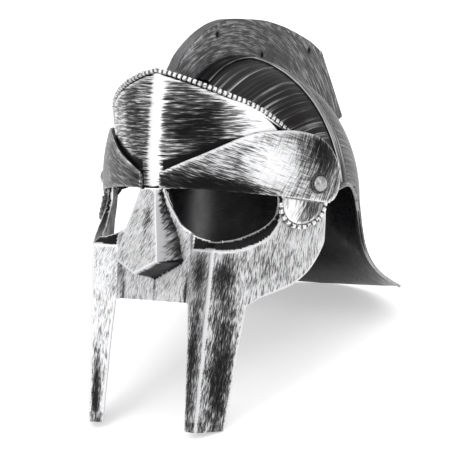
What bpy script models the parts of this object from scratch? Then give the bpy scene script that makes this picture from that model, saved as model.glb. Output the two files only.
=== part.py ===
"""Gladiator helmet: a skull shell with a comb, a forehead plate with a beaded trim, two brow
plates, and a face mask with a nose guard and two long prongs. Metres, +Z up, the face looks
along -Y and the wearer's left is +X. The helmet rests by itself on its prongs and neck guard.
"""
import math

import bmesh
import bpy
import numpy as np
from mathutils import Vector
from mathutils.geometry import delaunay_2d_cdt

MM = 0.001

# Walls and clearances
WALL = 2.0 * MM
BROW_WALL = 2.5 * MM
FIT = 0.3 * MM
LAYER_GAP = 1.0 * MM
DOME_GAP = 0.8 * MM

# Skull shell: an ellipsoid whose centre is the helmet's own origin height
DOME_HALF_WIDTH = 100.5 * MM
DOME_HALF_LENGTH = 122.0 * MM
DOME_HEIGHT = 118.5 * MM
DOME_SHIFT = 15.0 * MM
NECK_DROP = 84.0 * MM
NECK_FLARE = 36.0 * MM
NECK_FLARE_STRAIGHT = 0.2
NECK_FLARE_POWER = 5
EAR_ARCH_RISE = 13.0 * MM
STRAP_START = 16.0 * MM
STRAP_WIDTH = 14.0 * MM
STRAP_RAISE = 1.2 * MM
STRAP_END_GAP = 4.0 * MM
SHELL_CORNER_DROP = 0.893
SHELL_ROWS = [0.0, 0.03, 0.07, 0.13, 0.21, 0.31, 0.42, 0.53, 0.64, 0.75, 0.87]

# Comb on the mid plane
COMB_THICKNESS = 9.0 * MM
COMB_RISE = 32.0 * MM
COMB_FRONT = DOME_HALF_LENGTH - DOME_SHIFT - 21.0 * MM
COMB_TAIL = DOME_HALF_LENGTH + DOME_SHIFT + 66.0 * MM
COMB_TIP_HEIGHT = 0.557 * DOME_HEIGHT
COMB_STEP_BACK = 1.5 * MM
COMB_BASE_GAP = 1.4 * MM
COMB_TAIL_SHARE = 0.35
COMB_FLANGE_HALF = 17.0 * MM
COMB_FLANGE_THICKNESS = 1.2 * MM
COMB_EDGE = 2.5 * MM
FLANGE_FRONT_INSET = 4.0 * MM
FLANGE_BACK_INSET = 8.0 * MM
HOLLOW_SINK = 3.0 * MM
HOLLOW_BACK_INSET = 19.0 * MM
HOLLOW_LIP = 6.0 * MM
HOLLOW_DEPTH_MIN = 8.0 * MM
PLUME_HOLE_WIDTH = 3.0 * MM
PLUME_HOLE_HEIGHT = 5.0 * MM

# Plan of the brow plates: a superellipse outside the skull shell. Their length is a share of
# the plan's own, from the mid plane to the wearer's side
TEMPLE_STANDOFF = 6.5 * MM
FRONT_STANDOFF = 9.0 * MM
BROW_ROUNDNESS = 1.6
BROW_TAIL = 40.0 * MM
BROW_LENGTH_SHARE = 1.01956
BROW_LOW = 1.8 * MM
BROW_SPAN = 58.4 * MM
BROW_TUCK = 163.0 * MM
BROW_TUCK_START = 20.0 * MM
BROW_RIM = 5.6 * MM
RIM_GAP = 0.8 * MM
RIM_LIMIT = 9.0 * MM
RIM_EASE = [0.50, 0.60]

# Forehead plate and its trim
FOREHEAD_TOP = DOME_HEIGHT - 11.0 * MM
FOREHEAD_TOP_HALF_WIDTH = DOME_HALF_WIDTH - 16.5 * MM
FOREHEAD_TOP_FRONT = DOME_HALF_LENGTH - DOME_SHIFT - 3.0 * MM
FOREHEAD_SIDE_INSET = 14.0 * MM
FOREHEAD_FRONT_INSET = 4.5 * MM
FOREHEAD_BLEND = 55.0 * MM
FOREHEAD_BLEND_DROP = 7.5 * MM
FOREHEAD_ROUNDNESS = 2.0
FOREHEAD_GIRTH_SHARE = 0.65497
FOREHEAD_TUCKS = [0.0585, 2.5 * MM, 0.146, 6.0 * MM]
RETURN_FALL = 7.0 * MM
BEAD_PITCH = 4.1 * MM
BEAD_RADIUS = 2.2 * MM
BEAD_WAIST = 0.68

# Face mask: outer plates with prongs, an inner layer round the eyes and a nose guard
MASK_CREASE_SHARE = 0.34118
MASK_GIRTH_INSET = 1.0 * MM
MASK_BLEND_TOP = 4.0 * MM
MASK_BLEND = 32.0 * MM
CREASE_WIDTH_SHARE = 0.5243
CHEEK_PULL = (0.82, 0.60, 0.02)
CHEEK_END_INSET = 1.0 * MM
CHEEK_END_FRONT = 5.0 * MM
CREASE_SETBACK = 3.9 * MM
CREASE_HEIGHT = -31.0 * MM
PRONG_LEAN = 0.111
PRONG_CONVERGE = 0.048
LIP_RECESS = 7.5 * MM
STEP_SHARE = 0.6
EYE_RECESS = 8.0 * MM
EYE_RECESS_ALONG = [0.2, 0.3, 0.55, 0.66]
EYE_RECESS_SHARE = [0.0, 1.0, 1.0, 0.6]
PRONG_DROP = 171.3 * MM
LIP_DROP = 73.2 * MM
NOSE_PROUD = 4.0 * MM
NOSE_SLOPE = 0.332

# Rivets and temple bosses
RIVET_HEAD_RADIUS = 6.4 * MM
RIVET_WASHER_RADIUS = 8.2 * MM
RIVET_HEAD_HEIGHT = 4.4 * MM
RIVET_SHANK_RADIUS = 2.5 * MM
RIVET_LIFT = 0.9 * MM
RIVET_WASHER_THICKNESS = 1.0 * MM
RIVET_FOOT = 1.2 * MM
RIVET_FOOT_GAP = 1.5 * MM
RIVET_ALONG = 0.832
RIVET_HEIGHT = 17.8 * MM
BOSS_HALF_LENGTH = 24.0 * MM
BOSS_HALF_HEIGHT = 20.4 * MM
BOSS_ALONG = 0.771
BOSS_HEIGHT = 2.6 * MM
BOSS_PLATE = 1.4 * MM
BOSS_TUCK = 0.8 * MM
BOSS_RIM_RADIUS = 1.9 * MM
BOSS_BEAD_PITCH = 5.1 * MM

# Worked out from the sizes above
BROW_HALF_WIDTH = DOME_HALF_WIDTH + TEMPLE_STANDOFF
BROW_FRONT = DOME_HALF_LENGTH - DOME_SHIFT + FRONT_STANDOFF
MASK_INSET = BROW_WALL + LAYER_GAP
CREASE_HALF_WIDTH = CREASE_WIDTH_SHARE * BROW_HALF_WIDTH
DOME_SECTION = math.sqrt(1.0 - ((BROW_LOW + 0.8 * BROW_SPAN) / DOME_HEIGHT) ** 2)
FOREHEAD_LOW_HALF_WIDTH = max(BROW_HALF_WIDTH - FOREHEAD_SIDE_INSET,
                              DOME_HALF_WIDTH * DOME_SECTION + WALL)
FOREHEAD_LOW_FRONT = BROW_FRONT - FOREHEAD_FRONT_INSET

# Outline of a brow plate: share of its length from the nose, share of its height
BROW_TOP = [
    # along, height
    (0.053, 0.450), (0.149, 0.578), (0.240, 0.685), (0.332, 0.796), (0.429, 0.906),
    (0.532, 0.981), (0.637, 1.000), (0.752, 0.990), (0.871, 0.909), (0.930, 0.791),
    (0.965, 0.650), (0.994, 0.500), (1.000, 0.372), (0.990, 0.215), (0.953, 0.062),
    (0.908, 0.000),
]
BROW_BOTTOM = [
    # along, height
    (0.874, 0.010), (0.725, 0.079), (0.620, 0.122), (0.426, 0.183), (0.242, 0.231),
    (0.053, 0.243),
]

# Lower edge of the skull shell: angle round the plan in degrees from the wearer's side
# (-90 front, 90 back), and height as a share of the neck drop (1 down) or arch rise (-1 up)
SHELL_EDGE = [
    # angle, drop
    (-90.0, -3.90), (-74.0, -3.90), (-60.0, -3.90), (-49.0, -3.90), (-41.0, -3.45),
    (-34.0, -2.70), (-28.0, -2.15), (-24.0, -1.70), (-21.0, -1.00), (-16.0, -0.55),
    (-8.0, -0.55), (0.0, -0.85), (7.0, -1.00),
    (14.0, -0.85), (20.0, -0.35), (24.0, 0.03), (26.0, 0.12), (27.5, 0.30),
    (29.0, 0.52), (31.0, 0.68), (33.5, 0.80), (36.0, 0.893), (42.0, 0.903),
    (50.0, 0.925), (60.0, 0.955), (75.0, 0.985), (90.0, 1.00),
]

# Eye opening of the mask: share of the girth, share of the lip drop (down is positive)
EYE_RIM = [
    # along, drop
    (0.072, -0.205), (0.077, -0.160), (0.097, -0.055), (0.124, 0.090), (0.140, 0.170),
    (0.180, 0.235), (0.250, 0.312), (0.330, 0.340), (0.400, 0.338), (0.485, 0.314),
    (0.580, 0.232), (0.632, 0.125), (0.645, 0.000), (0.645, -0.150),
]
EYE_TOP = [
    # along, drop
    (0.620, -0.165), (0.424, -0.212), (0.235, -0.246),
]

# Upper edge of the outer plates, below the eye
LEDGE = [
    # along, drop
    (0.209, 0.436), (0.275, 0.425), (0.341, 0.421), (0.391, 0.438), (0.486, 0.423),
    (0.587, 0.348), (0.632, 0.266), (0.656, 0.142), (0.664, 0.000), (0.664, -0.165),
]

# Outside of the mask: along the hidden top, down the temple and cheek
MASK_TOP = [
    # along, drop
    (0.060, -0.328), (0.147, -0.377), (0.241, -0.460), (0.335, -0.545),
    (0.429, -0.610), (0.535, -0.635), (0.641, -0.640), (0.759, -0.640), (0.876, -0.580),
    (0.925, -0.470), (0.940, -0.250),
]
CHEEK_EDGE = [
    # along, drop
    (0.930, -0.060), (0.924, 0.023), (0.931, 0.184), (0.933, 0.378), (0.912, 0.484),
    (0.882, 0.589), (0.848, 0.680), (0.808, 0.755), (0.748, 0.837), (0.675, 0.891),
    (0.584, 0.949),
]
# Prong edges: share of the girth, share of the way from lip to tip
PRONG_OUTER = [
    # along, down
    (0.519, 0.025), (0.508, 0.206), (0.495, 0.363), (0.474, 0.794), (0.461, 1.000),
]
PRONG_INNER = [
    # along, down
    (0.264, 1.000), (0.248, 0.675), (0.234, 0.362), (0.214, 0.010),
]
STEP_INNER = 0.194
STEP_OUTER = 0.209

# Nose guard: front face crease and foot, share of the girth, share of the lip drop
NOSE_CREASE = [
    # along, drop
    (0.044, -0.205), (0.120, 0.533), (0.000, 0.676),
]
NOSE_FOOT = [
    # along, drop
    (0.056, -0.205), (0.150, 0.574), (0.000, 0.765),
]

# Comb outline above the dome: share of the way from front to tail, share of its rise
COMB_OUTLINE = [
    # along, height above the dome's crown as a share of the rise
    (0.000, -0.430), (0.020, -0.250), (0.043, -0.010), (0.081, 0.249), (0.134, 0.532),
    (0.187, 0.744), (0.241, 0.896), (0.300, 0.985), (0.382, 1.005), (0.498, 0.990),
    (0.597, 0.881), (0.659, 0.773), (0.722, 0.634), (0.787, 0.466), (0.859, 0.196),
]
PLUME_HOLES = [
    # along, height
    (0.230, 0.572), (0.483, 0.075), (0.774, 0.228),
]

# Upper edge of the forehead plate: share of its girth, share of its rise above the brows
FOREHEAD_EDGE = [
    # along, height
    (0.000, 1.0000), (0.100, 0.9523), (0.270, 0.8205), (0.400, 0.7046), (0.546, 0.5727),
    (0.674, 0.4591), (0.744, 0.3818), (0.824, 0.2841), (0.891, 0.1818), (0.946, 0.0909),
    (1.000, -0.0114),
]

FINISHES = {
    # colour, roughness, metallic
    "blackened": ((0.030, 0.030, 0.033), 0.35, 0.3),
    "brushed": ((0.330, 0.335, 0.345), 0.38, 0.8),
    "bright": ((0.620, 0.625, 0.635), 0.30, 0.9),
}


def clear_scene():
    """Remove every object the file opens with."""
    for obj in list(bpy.data.objects):
        bpy.data.objects.remove(obj, do_unlink=True)


def collection_named(name):
    """A new collection in the scene."""
    group = bpy.data.collections.new(name)
    bpy.context.scene.collection.children.link(group)
    return group


def make_material(name, finish):
    """Principled material for one piece."""
    colour, roughness, metallic = FINISHES[finish]
    material = bpy.data.materials.new(name)
    material.use_nodes = True
    shader = material.node_tree.nodes["Principled BSDF"]
    shader.inputs["Base Color"].default_value = (*colour, 1.0)
    shader.inputs["Roughness"].default_value = roughness
    shader.inputs["Metallic"].default_value = metallic
    material.diffuse_color = (*colour, 1.0)
    return material


def add_object(name, bm, group, finish=None):
    """Turn a bmesh into an object of a collection, with its own material."""
    mesh = bpy.data.meshes.new(name)
    bm.to_mesh(mesh)
    bm.free()
    obj = bpy.data.objects.new(name, mesh)
    group.objects.link(obj)
    if finish:
        mesh.materials.append(make_material(name + "_finish", finish))
    return obj


def smooth(obj, degrees=35.0):
    """Shade a rounded piece smooth and keep its creases."""
    obj.data.shade_smooth()
    obj.data.set_sharp_from_angle(angle=math.radians(degrees))


def add_solidify(obj, thickness, offset=-1.0):
    """Give an open surface its wall, inward for offset -1."""
    wall = obj.modifiers.new("wall", "SOLIDIFY")
    wall.thickness = thickness
    wall.offset = offset
    wall.use_even_offset = False
    return wall


def add_mirror(obj):
    """Mirror a half piece over the mid plane."""
    mirror = obj.modifiers.new("mirror", "MIRROR")
    mirror.use_axis = (True, False, False)
    mirror.use_clip = True
    mirror.use_mirror_merge = True
    mirror.merge_threshold = 0.00005
    return mirror


def add_boolean(obj, cutter, operation):
    """Boolean with another object, which is kept as a hidden guide."""
    boolean = obj.modifiers.new(operation.lower(), "BOOLEAN")
    boolean.operation = operation
    boolean.solver = "EXACT"
    boolean.object = cutter
    return boolean


def as_cutter(obj):
    """Hide a guide object from the render."""
    obj.hide_render = True
    obj.display_type = "WIRE"
    return obj


def flowing(points, step):
    """Points every step or so along a smooth curve through the given ones."""
    p = np.asarray(points, float)
    before = 2 * p[0] - p[1]
    after = 2 * p[-1] - p[-2]
    q = np.vstack([before, p, after])
    path = []
    for i in range(1, len(q) - 2):
        count = max(1, int(round(np.linalg.norm(q[i + 1] - q[i]) / step)))
        for k in range(count):
            t = k / count
            path.append(0.5 * (2 * q[i] + (q[i + 1] - q[i - 1]) * t
                               + (2 * q[i - 1] - 5 * q[i] + 4 * q[i + 1] - q[i + 2]) * t ** 2
                               + (3 * q[i] - q[i - 1] - 3 * q[i + 1] + q[i + 2]) * t ** 3))
    path.append(q[-2])
    return [tuple(point) for point in path]


def straight(points, step):
    """Points every step or so along straight runs between the given ones."""
    path = []
    for a, b in zip(points[:-1], points[1:]):
        a, b = np.asarray(a, float), np.asarray(b, float)
        count = max(1, int(round(np.linalg.norm(b - a) / step)))
        path += [tuple(a + (b - a) * k / count) for k in range(count)]
    path.append(tuple(points[-1]))
    return path


class Plan:
    """A plan curve read by the distance along it from the mid plane."""

    def __init__(self, points):
        self.points = np.asarray(points, float)
        lengths = np.hypot(*np.diff(self.points, axis=0).T)
        self.along = np.concatenate([[0.0], np.cumsum(lengths)])
        self.length = self.along[-1]

    def at(self, distance):
        """Point of the plan at a distance along it."""
        return np.array([np.interp(distance, self.along, self.points[:, 0]),
                         np.interp(distance, self.along, self.points[:, 1])])


def superellipse(half_width, front, roundness, tail=0.0, count=200):
    """Plan curve from the front round to the side, then straight back by the tail."""
    turn = np.linspace(0.0, math.pi / 2, count)
    x = half_width * np.sin(turn) ** (2 / roundness)
    y = -front * np.cos(turn) ** (2 / roundness)
    points = np.stack([x, y], 1)
    points[0, 0] = 0.0
    points[-1] = (half_width, 0.0)
    if tail:
        points = np.vstack([points, (half_width, tail)])
    return Plan(points)


def bezier(start, pull, end, count=40):
    """Points of a curve from start to end, drawn toward pull."""
    t = np.linspace(0.0, 1.0, count)[:, None]
    start, pull, end = (np.asarray(p, float) for p in (start, pull, end))
    return (1 - t) ** 2 * start + 2 * t * (1 - t) * pull + t * t * end


def ease(t):
    """Smooth step from 0 to 1."""
    t = min(max(t, 0.0), 1.0)
    return t * t * (3 - 2 * t)


BROW_PLAN = superellipse(BROW_HALF_WIDTH, BROW_FRONT, BROW_ROUNDNESS, tail=BROW_TAIL)
MASK_PLAN = superellipse(BROW_HALF_WIDTH - MASK_INSET, BROW_FRONT - MASK_INSET, BROW_ROUNDNESS)
BROW_LENGTH = BROW_LENGTH_SHARE * (BROW_PLAN.length - BROW_TAIL)
FOREHEAD_GIRTH = FOREHEAD_GIRTH_SHARE * BROW_LENGTH
MASK_GIRTH = BROW_LENGTH - MASK_GIRTH_INSET
MASK_CREASE = MASK_CREASE_SHARE * MASK_GIRTH


def brow_tuck(z):
    """How far the brow level leans in with height, as a scale."""
    return 1.0 - (max(z - BROW_TUCK_START, 0.0) / BROW_TUCK) ** 2


def brow_form(along, z, inward=0.0):
    """Point of the brow plates' outer face, or of a layer inside it."""
    point = BROW_PLAN.at(along) * brow_tuck(z)
    if inward:
        point = point - inward * plan_normal(BROW_PLAN, along)
    return Vector((point[0], point[1], z))


def plan_normal(plan, along, reach=2.0 * MM):
    """Outward direction of a plan curve, level."""
    ahead = plan.at(along + reach) - plan.at(max(along - reach, 0.0))
    normal = np.array([ahead[1], -ahead[0]])
    return normal / np.linalg.norm(normal)


def mask_lower_plan(z):
    """Plan of the mask below the eyes: nearly flat front, then the side face."""
    crease_x = CREASE_HALF_WIDTH + PRONG_CONVERGE * (z - CREASE_HEIGHT)
    crease_y = -(BROW_FRONT - CREASE_SETBACK) + PRONG_LEAN * (z - CREASE_HEIGHT)
    pull = (CHEEK_PULL[0] * BROW_HALF_WIDTH,
            CHEEK_PULL[1] * crease_y - CHEEK_PULL[2] * BROW_FRONT)
    end = (BROW_HALF_WIDTH - CHEEK_END_INSET, -CHEEK_END_FRONT)
    return crease_x, crease_y, Plan(bezier((crease_x, crease_y), pull, end))


def mask_form(along, z):
    """Point of the mask's base face; along is measured on its own girth."""
    upper = MASK_PLAN.at(along / MASK_GIRTH * MASK_PLAN.length) * brow_tuck(z)
    blend = ease((MASK_BLEND_TOP - z) / MASK_BLEND)
    if blend == 0.0:
        return Vector((upper[0], upper[1], z))
    crease_x, crease_y, side = mask_lower_plan(z)
    if along <= MASK_CREASE:
        steps = [0.0, STEP_INNER * MASK_GIRTH, STEP_OUTER * MASK_GIRTH, MASK_CREASE]
        recess = np.interp(along, steps, [LIP_RECESS, LIP_RECESS,
                                          STEP_SHARE * LIP_RECESS, 0.0])
        lower = np.array([along * crease_x / MASK_CREASE, crease_y + recess])
    else:
        share = (along - MASK_CREASE) / (MASK_GIRTH - MASK_CREASE)
        lower = side.at(share * side.length)
    point = upper * (1 - blend) + lower * blend
    return Vector((point[0], point[1], z))


def forehead_section(z):
    """Half width, front and roundness of the forehead plate, rounder at its top."""
    share = (FOREHEAD_TOP - FOREHEAD_BLEND_DROP - z) / FOREHEAD_BLEND
    share = min(max(share, 0.0), 1.0)
    roundness = FOREHEAD_ROUNDNESS + (BROW_ROUNDNESS - FOREHEAD_ROUNDNESS) * share
    spread = FOREHEAD_LOW_HALF_WIDTH - FOREHEAD_TOP_HALF_WIDTH
    lean = FOREHEAD_LOW_FRONT - FOREHEAD_TOP_FRONT
    return FOREHEAD_TOP_HALF_WIDTH + spread * share, FOREHEAD_TOP_FRONT + lean * share, roundness


def forehead_plan(z):
    """Plan of the forehead plate at a height."""
    return superellipse(*forehead_section(z))


def forehead_gap(along, z):
    """Distance inward from the brow plates' outer face to the forehead plate's."""
    half_width, front, roundness = forehead_section(z)
    normal = plan_normal(BROW_PLAN, along)
    spot = np.array(brow_form(along, z).xy)
    depth = 0.0
    while depth < RIM_LIMIT:
        x, y = np.abs(spot - depth * normal)
        if (x / half_width) ** roundness + (y / front) ** roundness < 1.0:
            break
        depth += 0.1 * MM
    return depth


def dome_point(angle, z, grow=0.0):
    """Point of the skull ellipsoid at a plan angle (0 is the wearer's left side)."""
    scale = math.sqrt(max(1.0 - (z / (DOME_HEIGHT + grow)) ** 2, 0.0)) if z > 0 else 1.0
    return Vector(((DOME_HALF_WIDTH + grow) * scale * math.cos(angle),
                   DOME_SHIFT + (DOME_HALF_LENGTH + grow) * scale * math.sin(angle), z))


def dome_height(x, y, grow=0.0):
    """Height of the skull ellipsoid over a plan point."""
    inside = 1.0 - (x / (DOME_HALF_WIDTH + grow)) ** 2
    inside -= ((y - DOME_SHIFT) / (DOME_HALF_LENGTH + grow)) ** 2
    return (DOME_HEIGHT + grow) * math.sqrt(max(inside, 0.0))


def sheet_from_outline(outline, spacing, creases=(), hole=()):
    """Triangulated flat sheet inside a closed outline, with crease lines kept as edges."""
    points = []
    edges = []
    for ring in (outline, hole):
        first = len(points)
        points += [Vector(p) for p in ring]
        edges += [(first + i, first + (i + 1) % len(ring)) for i in range(len(ring))]
    for line in creases:
        first = len(points)
        points += [Vector(p) for p in line]
        edges += [(i, i + 1) for i in range(first, len(points) - 1)]
    lines = np.array([[tuple(points[a]), tuple(points[b])] for a, b in edges])
    low = lines.reshape(-1, 2).min(0)
    high = lines.reshape(-1, 2).max(0)
    row, y = 0, low[1] + spacing / 2
    while y < high[1]:
        x = low[0] + (0.25 + 0.5 * (row % 2)) * spacing
        while x < high[0]:
            spot = (x, y)
            if inside_outline(spot, outline) and distance_to_lines(spot, lines) > 0.6 * spacing:
                points.append(Vector(spot))
            x += spacing
        row += 1
        y += spacing * 0.866
    verts, _, faces, *_ = delaunay_2d_cdt(points, edges, [], 0, 1e-7)
    kept = []
    for face in faces:
        centre = centre_of(verts, face)
        if inside_outline(centre, outline) and not (hole and inside_outline(centre, hole)):
            kept.append(face)
    return [tuple(v) for v in verts], kept


def centre_of(verts, face):
    """Mean of a face's corners."""
    return tuple(sum((verts[i] for i in face), Vector((0.0, 0.0))) / len(face))


def inside_outline(point, outline):
    """Whether a point lies inside a closed outline."""
    x, y = point
    inside = False
    for (ax, ay), (bx, by) in zip(outline, outline[1:] + outline[:1]):
        if (ay > y) != (by > y) and x < (bx - ax) * (y - ay) / (by - ay) + ax:
            inside = not inside
    return inside


def distance_to_lines(point, lines):
    """Shortest distance from a point to a set of straight edges."""
    p = np.array(point)
    a, b = lines[:, 0], lines[:, 1]
    d = b - a
    t = np.clip(((p - a) * d).sum(1) / np.maximum((d * d).sum(1), 1e-18), 0, 1)
    return float(np.hypot(*(a + d * t[:, None] - p).T).min())


def distance_to_path(point, path):
    """Shortest distance from a point to an open run of points."""
    lines = np.array([[a, b] for a, b in zip(path[:-1], path[1:])])
    return distance_to_lines(point, lines)


def formed_sheet(verts, faces, form):
    """Press a flat sheet onto a form; returns a bmesh with its faces pointing out."""
    bm = bmesh.new()
    made = [bm.verts.new(form(*v)) for v in verts]
    for face in faces:
        bm.faces.new([made[i] for i in face])
    for vert in [v for v in bm.verts if not v.link_faces]:
        bm.verts.remove(vert)
    return facing_out(bm)


def facing_out(bm):
    """Turn a surface's faces away from the middle of the head."""
    bm.normal_update()
    middle = Vector((0.0, DOME_SHIFT, 0.0))
    facing = 0.0
    for face in bm.faces:
        facing += face.normal.dot(face.calc_center_median() - middle) * face.calc_area()
    if facing < 0:
        bmesh.ops.reverse_faces(bm, faces=bm.faces)
    return bm


def grid_surface(rows):
    """Quad surface through rows of points; a row of one point is a pole."""
    bm = bmesh.new()
    made = [[bm.verts.new(p) for p in row] for row in rows]
    for lower, upper in zip(made[:-1], made[1:]):
        for i in range(len(lower) - 1):
            if len(upper) == 1:
                bm.faces.new((lower[i], lower[i + 1], upper[0]))
            else:
                bm.faces.new((lower[i], lower[i + 1], upper[i + 1], upper[i]))
    return facing_out(bm)


def mirrored_x(bm):
    """Mirror a bmesh over the mid plane and keep its faces pointing out."""
    for vert in bm.verts:
        vert.co.x = -vert.co.x
    bmesh.ops.reverse_faces(bm, faces=bm.faces)
    return bm


def plate_in_mid_plane(name, outline, half_thickness, group):
    """Flat plate in the mid plane: a filled outline of (y, z) points made thick along X."""
    curve = bpy.data.curves.new(name, "CURVE")
    curve.dimensions = "2D"
    curve.fill_mode = "BOTH"
    curve.extrude = half_thickness
    spline = curve.splines.new("POLY")
    spline.points.add(len(outline) - 1)
    for point, (y, z) in zip(spline.points, outline):
        point.co = (y, z, 0.0, 1.0)
    spline.use_cyclic_u = True
    drawn = bpy.data.objects.new(name + "_outline", curve)
    group.objects.link(drawn)
    depsgraph = bpy.context.evaluated_depsgraph_get()
    mesh = bpy.data.meshes.new_from_object(drawn.evaluated_get(depsgraph))
    bpy.data.objects.remove(drawn, do_unlink=True)
    bm = bmesh.new()
    bm.from_mesh(mesh)
    bpy.data.meshes.remove(mesh)
    for vert in bm.verts:
        vert.co = (vert.co.z, vert.co.x, vert.co.y)
    bmesh.ops.remove_doubles(bm, verts=bm.verts, dist=0.00001)
    bmesh.ops.recalc_face_normals(bm, faces=bm.faces)
    return bm


def beaded_bar(name, path, radius, pitch, group, finish):
    """Bar along a path that swells into a bead every pitch."""
    line = Plan3(path)
    beads = max(2, int(round(line.length / pitch)))
    curve = bpy.data.curves.new(name, "CURVE")
    curve.dimensions = "3D"
    curve.bevel_depth = radius
    curve.bevel_resolution = 1
    curve.use_fill_caps = True
    marks = []
    for bead in range(beads):
        marks += [(bead, BEAD_WAIST), (bead + 0.5, 1.0)]
    marks.append((beads, BEAD_WAIST))
    spline = curve.splines.new("POLY")
    spline.points.add(len(marks) - 1)
    for point, (mark, swell) in zip(spline.points, marks):
        point.co = (*line.at(mark / beads * line.length), 1.0)
        point.radius = swell
    drawn = bpy.data.objects.new(name + "_path", curve)
    group.objects.link(drawn)
    depsgraph = bpy.context.evaluated_depsgraph_get()
    mesh = bpy.data.meshes.new_from_object(drawn.evaluated_get(depsgraph))
    bpy.data.objects.remove(drawn, do_unlink=True)
    bm = bmesh.new()
    bm.from_mesh(mesh)
    bpy.data.meshes.remove(mesh)
    bmesh.ops.remove_doubles(bm, verts=bm.verts, dist=0.00001)
    bmesh.ops.recalc_face_normals(bm, faces=bm.faces)
    return add_object(name, bm, group, finish)


class Plan3:
    """A run of points in space read by the distance along it."""

    def __init__(self, points):
        self.points = np.asarray(points, float)
        steps = np.linalg.norm(np.diff(self.points, axis=0), axis=1)
        self.along = np.concatenate([[0.0], np.cumsum(steps)])
        self.length = self.along[-1]

    def at(self, distance):
        """Point at a distance along the run."""
        return tuple(np.interp(distance, self.along, self.points[:, k]) for k in range(3))


def shell_column(angle, drop):
    """Points of the skull shell up one plan angle, from its lower edge to the crown."""
    low = -drop * NECK_DROP if drop > 0 else -drop * EAR_ARCH_RISE
    reach = max(drop, SHELL_CORNER_DROP) * NECK_DROP
    points = []
    if low < 0:
        for z in np.linspace(low, 0.0, 30)[:-1]:
            depth = -z / reach
            flare = NECK_FLARE_STRAIGHT * depth
            flare += (1.0 - NECK_FLARE_STRAIGHT) * depth ** NECK_FLARE_POWER
            flare *= NECK_FLARE
            normal = Vector((math.cos(angle) / DOME_HALF_WIDTH,
                             math.sin(angle) / DOME_HALF_LENGTH, 0.0)).normalized()
            points.append(dome_point(angle, 0.0) + normal * flare + Vector((0.0, 0.0, z)))
    lift = math.asin(max(low, 0.0) / DOME_HEIGHT)
    for turn in np.linspace(lift, math.pi / 2, 60):
        points.append(dome_point(angle, DOME_HEIGHT * math.sin(turn)))
    return Plan3(points)


def make_skull_shell(group, guides):
    """Thin dome with ear arches, a flared neck guard and a raised strap from ear to ear."""
    columns = [shell_column(math.radians(angle), drop) for angle, drop in SHELL_EDGE]
    rows = [[column.at(share * column.length) for column in columns] for share in SHELL_ROWS]
    for row in rows:
        row[0] = (0.0, *row[0][1:])
        row[-1] = (0.0, *row[-1][1:])
    rows.append([(0.0, DOME_SHIFT, DOME_HEIGHT)])
    shell = add_object("skull_shell", grid_surface(rows), group, "blackened")
    add_mirror(shell)
    add_solidify(shell, WALL)
    strap = make_strap(guides)
    add_boolean(shell, strap, "UNION")
    smooth(shell)
    return shell


def make_strap(guides):
    """Guide: raised strap across the dome, from the comb down to each ear arch."""
    section = math.sqrt(1.0 - ((STRAP_START + STRAP_WIDTH / 2 - DOME_SHIFT)
                               / DOME_HALF_LENGTH) ** 2)
    start = math.asin((COMB_FLANGE_HALF + 2 * FIT) / (DOME_HALF_WIDTH * section))
    end = math.acos((EAR_ARCH_RISE + STRAP_END_GAP) / (DOME_HEIGHT * section))
    rows = []
    for turn in np.linspace(start, end, 18):
        row = []
        for y in np.linspace(STRAP_START, STRAP_START + STRAP_WIDTH, 3):
            scale = math.sqrt(1.0 - ((y - DOME_SHIFT) / (DOME_HALF_LENGTH + STRAP_RAISE)) ** 2)
            row.append(((DOME_HALF_WIDTH + STRAP_RAISE) * scale * math.sin(turn), y,
                        (DOME_HEIGHT + STRAP_RAISE) * scale * math.cos(turn)))
        rows.append(row)
    strap = add_object("strap_guide", grid_surface(rows), guides)
    add_solidify(strap, STRAP_RAISE + WALL / 2)
    mirror = add_mirror(strap)
    mirror.use_clip = False
    return as_cutter(strap)


def comb_point(along, height):
    """Point of the comb's outline in the mid plane."""
    return (-COMB_FRONT + along * (COMB_TAIL + COMB_FRONT), DOME_HEIGHT + height * COMB_RISE)


def return_end():
    """Where the forehead plate's return stops short of the dome, in the mid plane."""
    z = FOREHEAD_TOP - BEAD_RADIUS - FIT - RETURN_FALL
    end = return_point(Vector((0.0, -FOREHEAD_TOP_FRONT, z + RETURN_FALL)))
    return end.y, end.z


def dome_line(grow, step=8 * MM):
    """Points of the dome's mid plane profile under the comb, from front to tail."""
    front = return_end()[0] + COMB_STEP_BACK
    drop = math.sqrt(1.0 - COMB_TAIL_SHARE ** 2)
    tail = DOME_SHIFT + (DOME_HALF_LENGTH + grow) * drop
    count = int((tail - front) / step)
    return [(y, dome_height(0.0, y, grow)) for y in np.linspace(front, tail, count)]


def comb_base():
    """Lower edge of the comb: over the forehead plate's return, then along the dome."""
    end_y, end_z = return_end()
    slope = RETURN_FALL / (FOREHEAD_TOP_FRONT + end_y)
    front_z = end_z + slope * (COMB_FRONT + end_y)
    lift = 2 * FIT
    return [(-COMB_FRONT, front_z + lift), (end_y, end_z + lift)] + dome_line(COMB_BASE_GAP)


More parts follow.
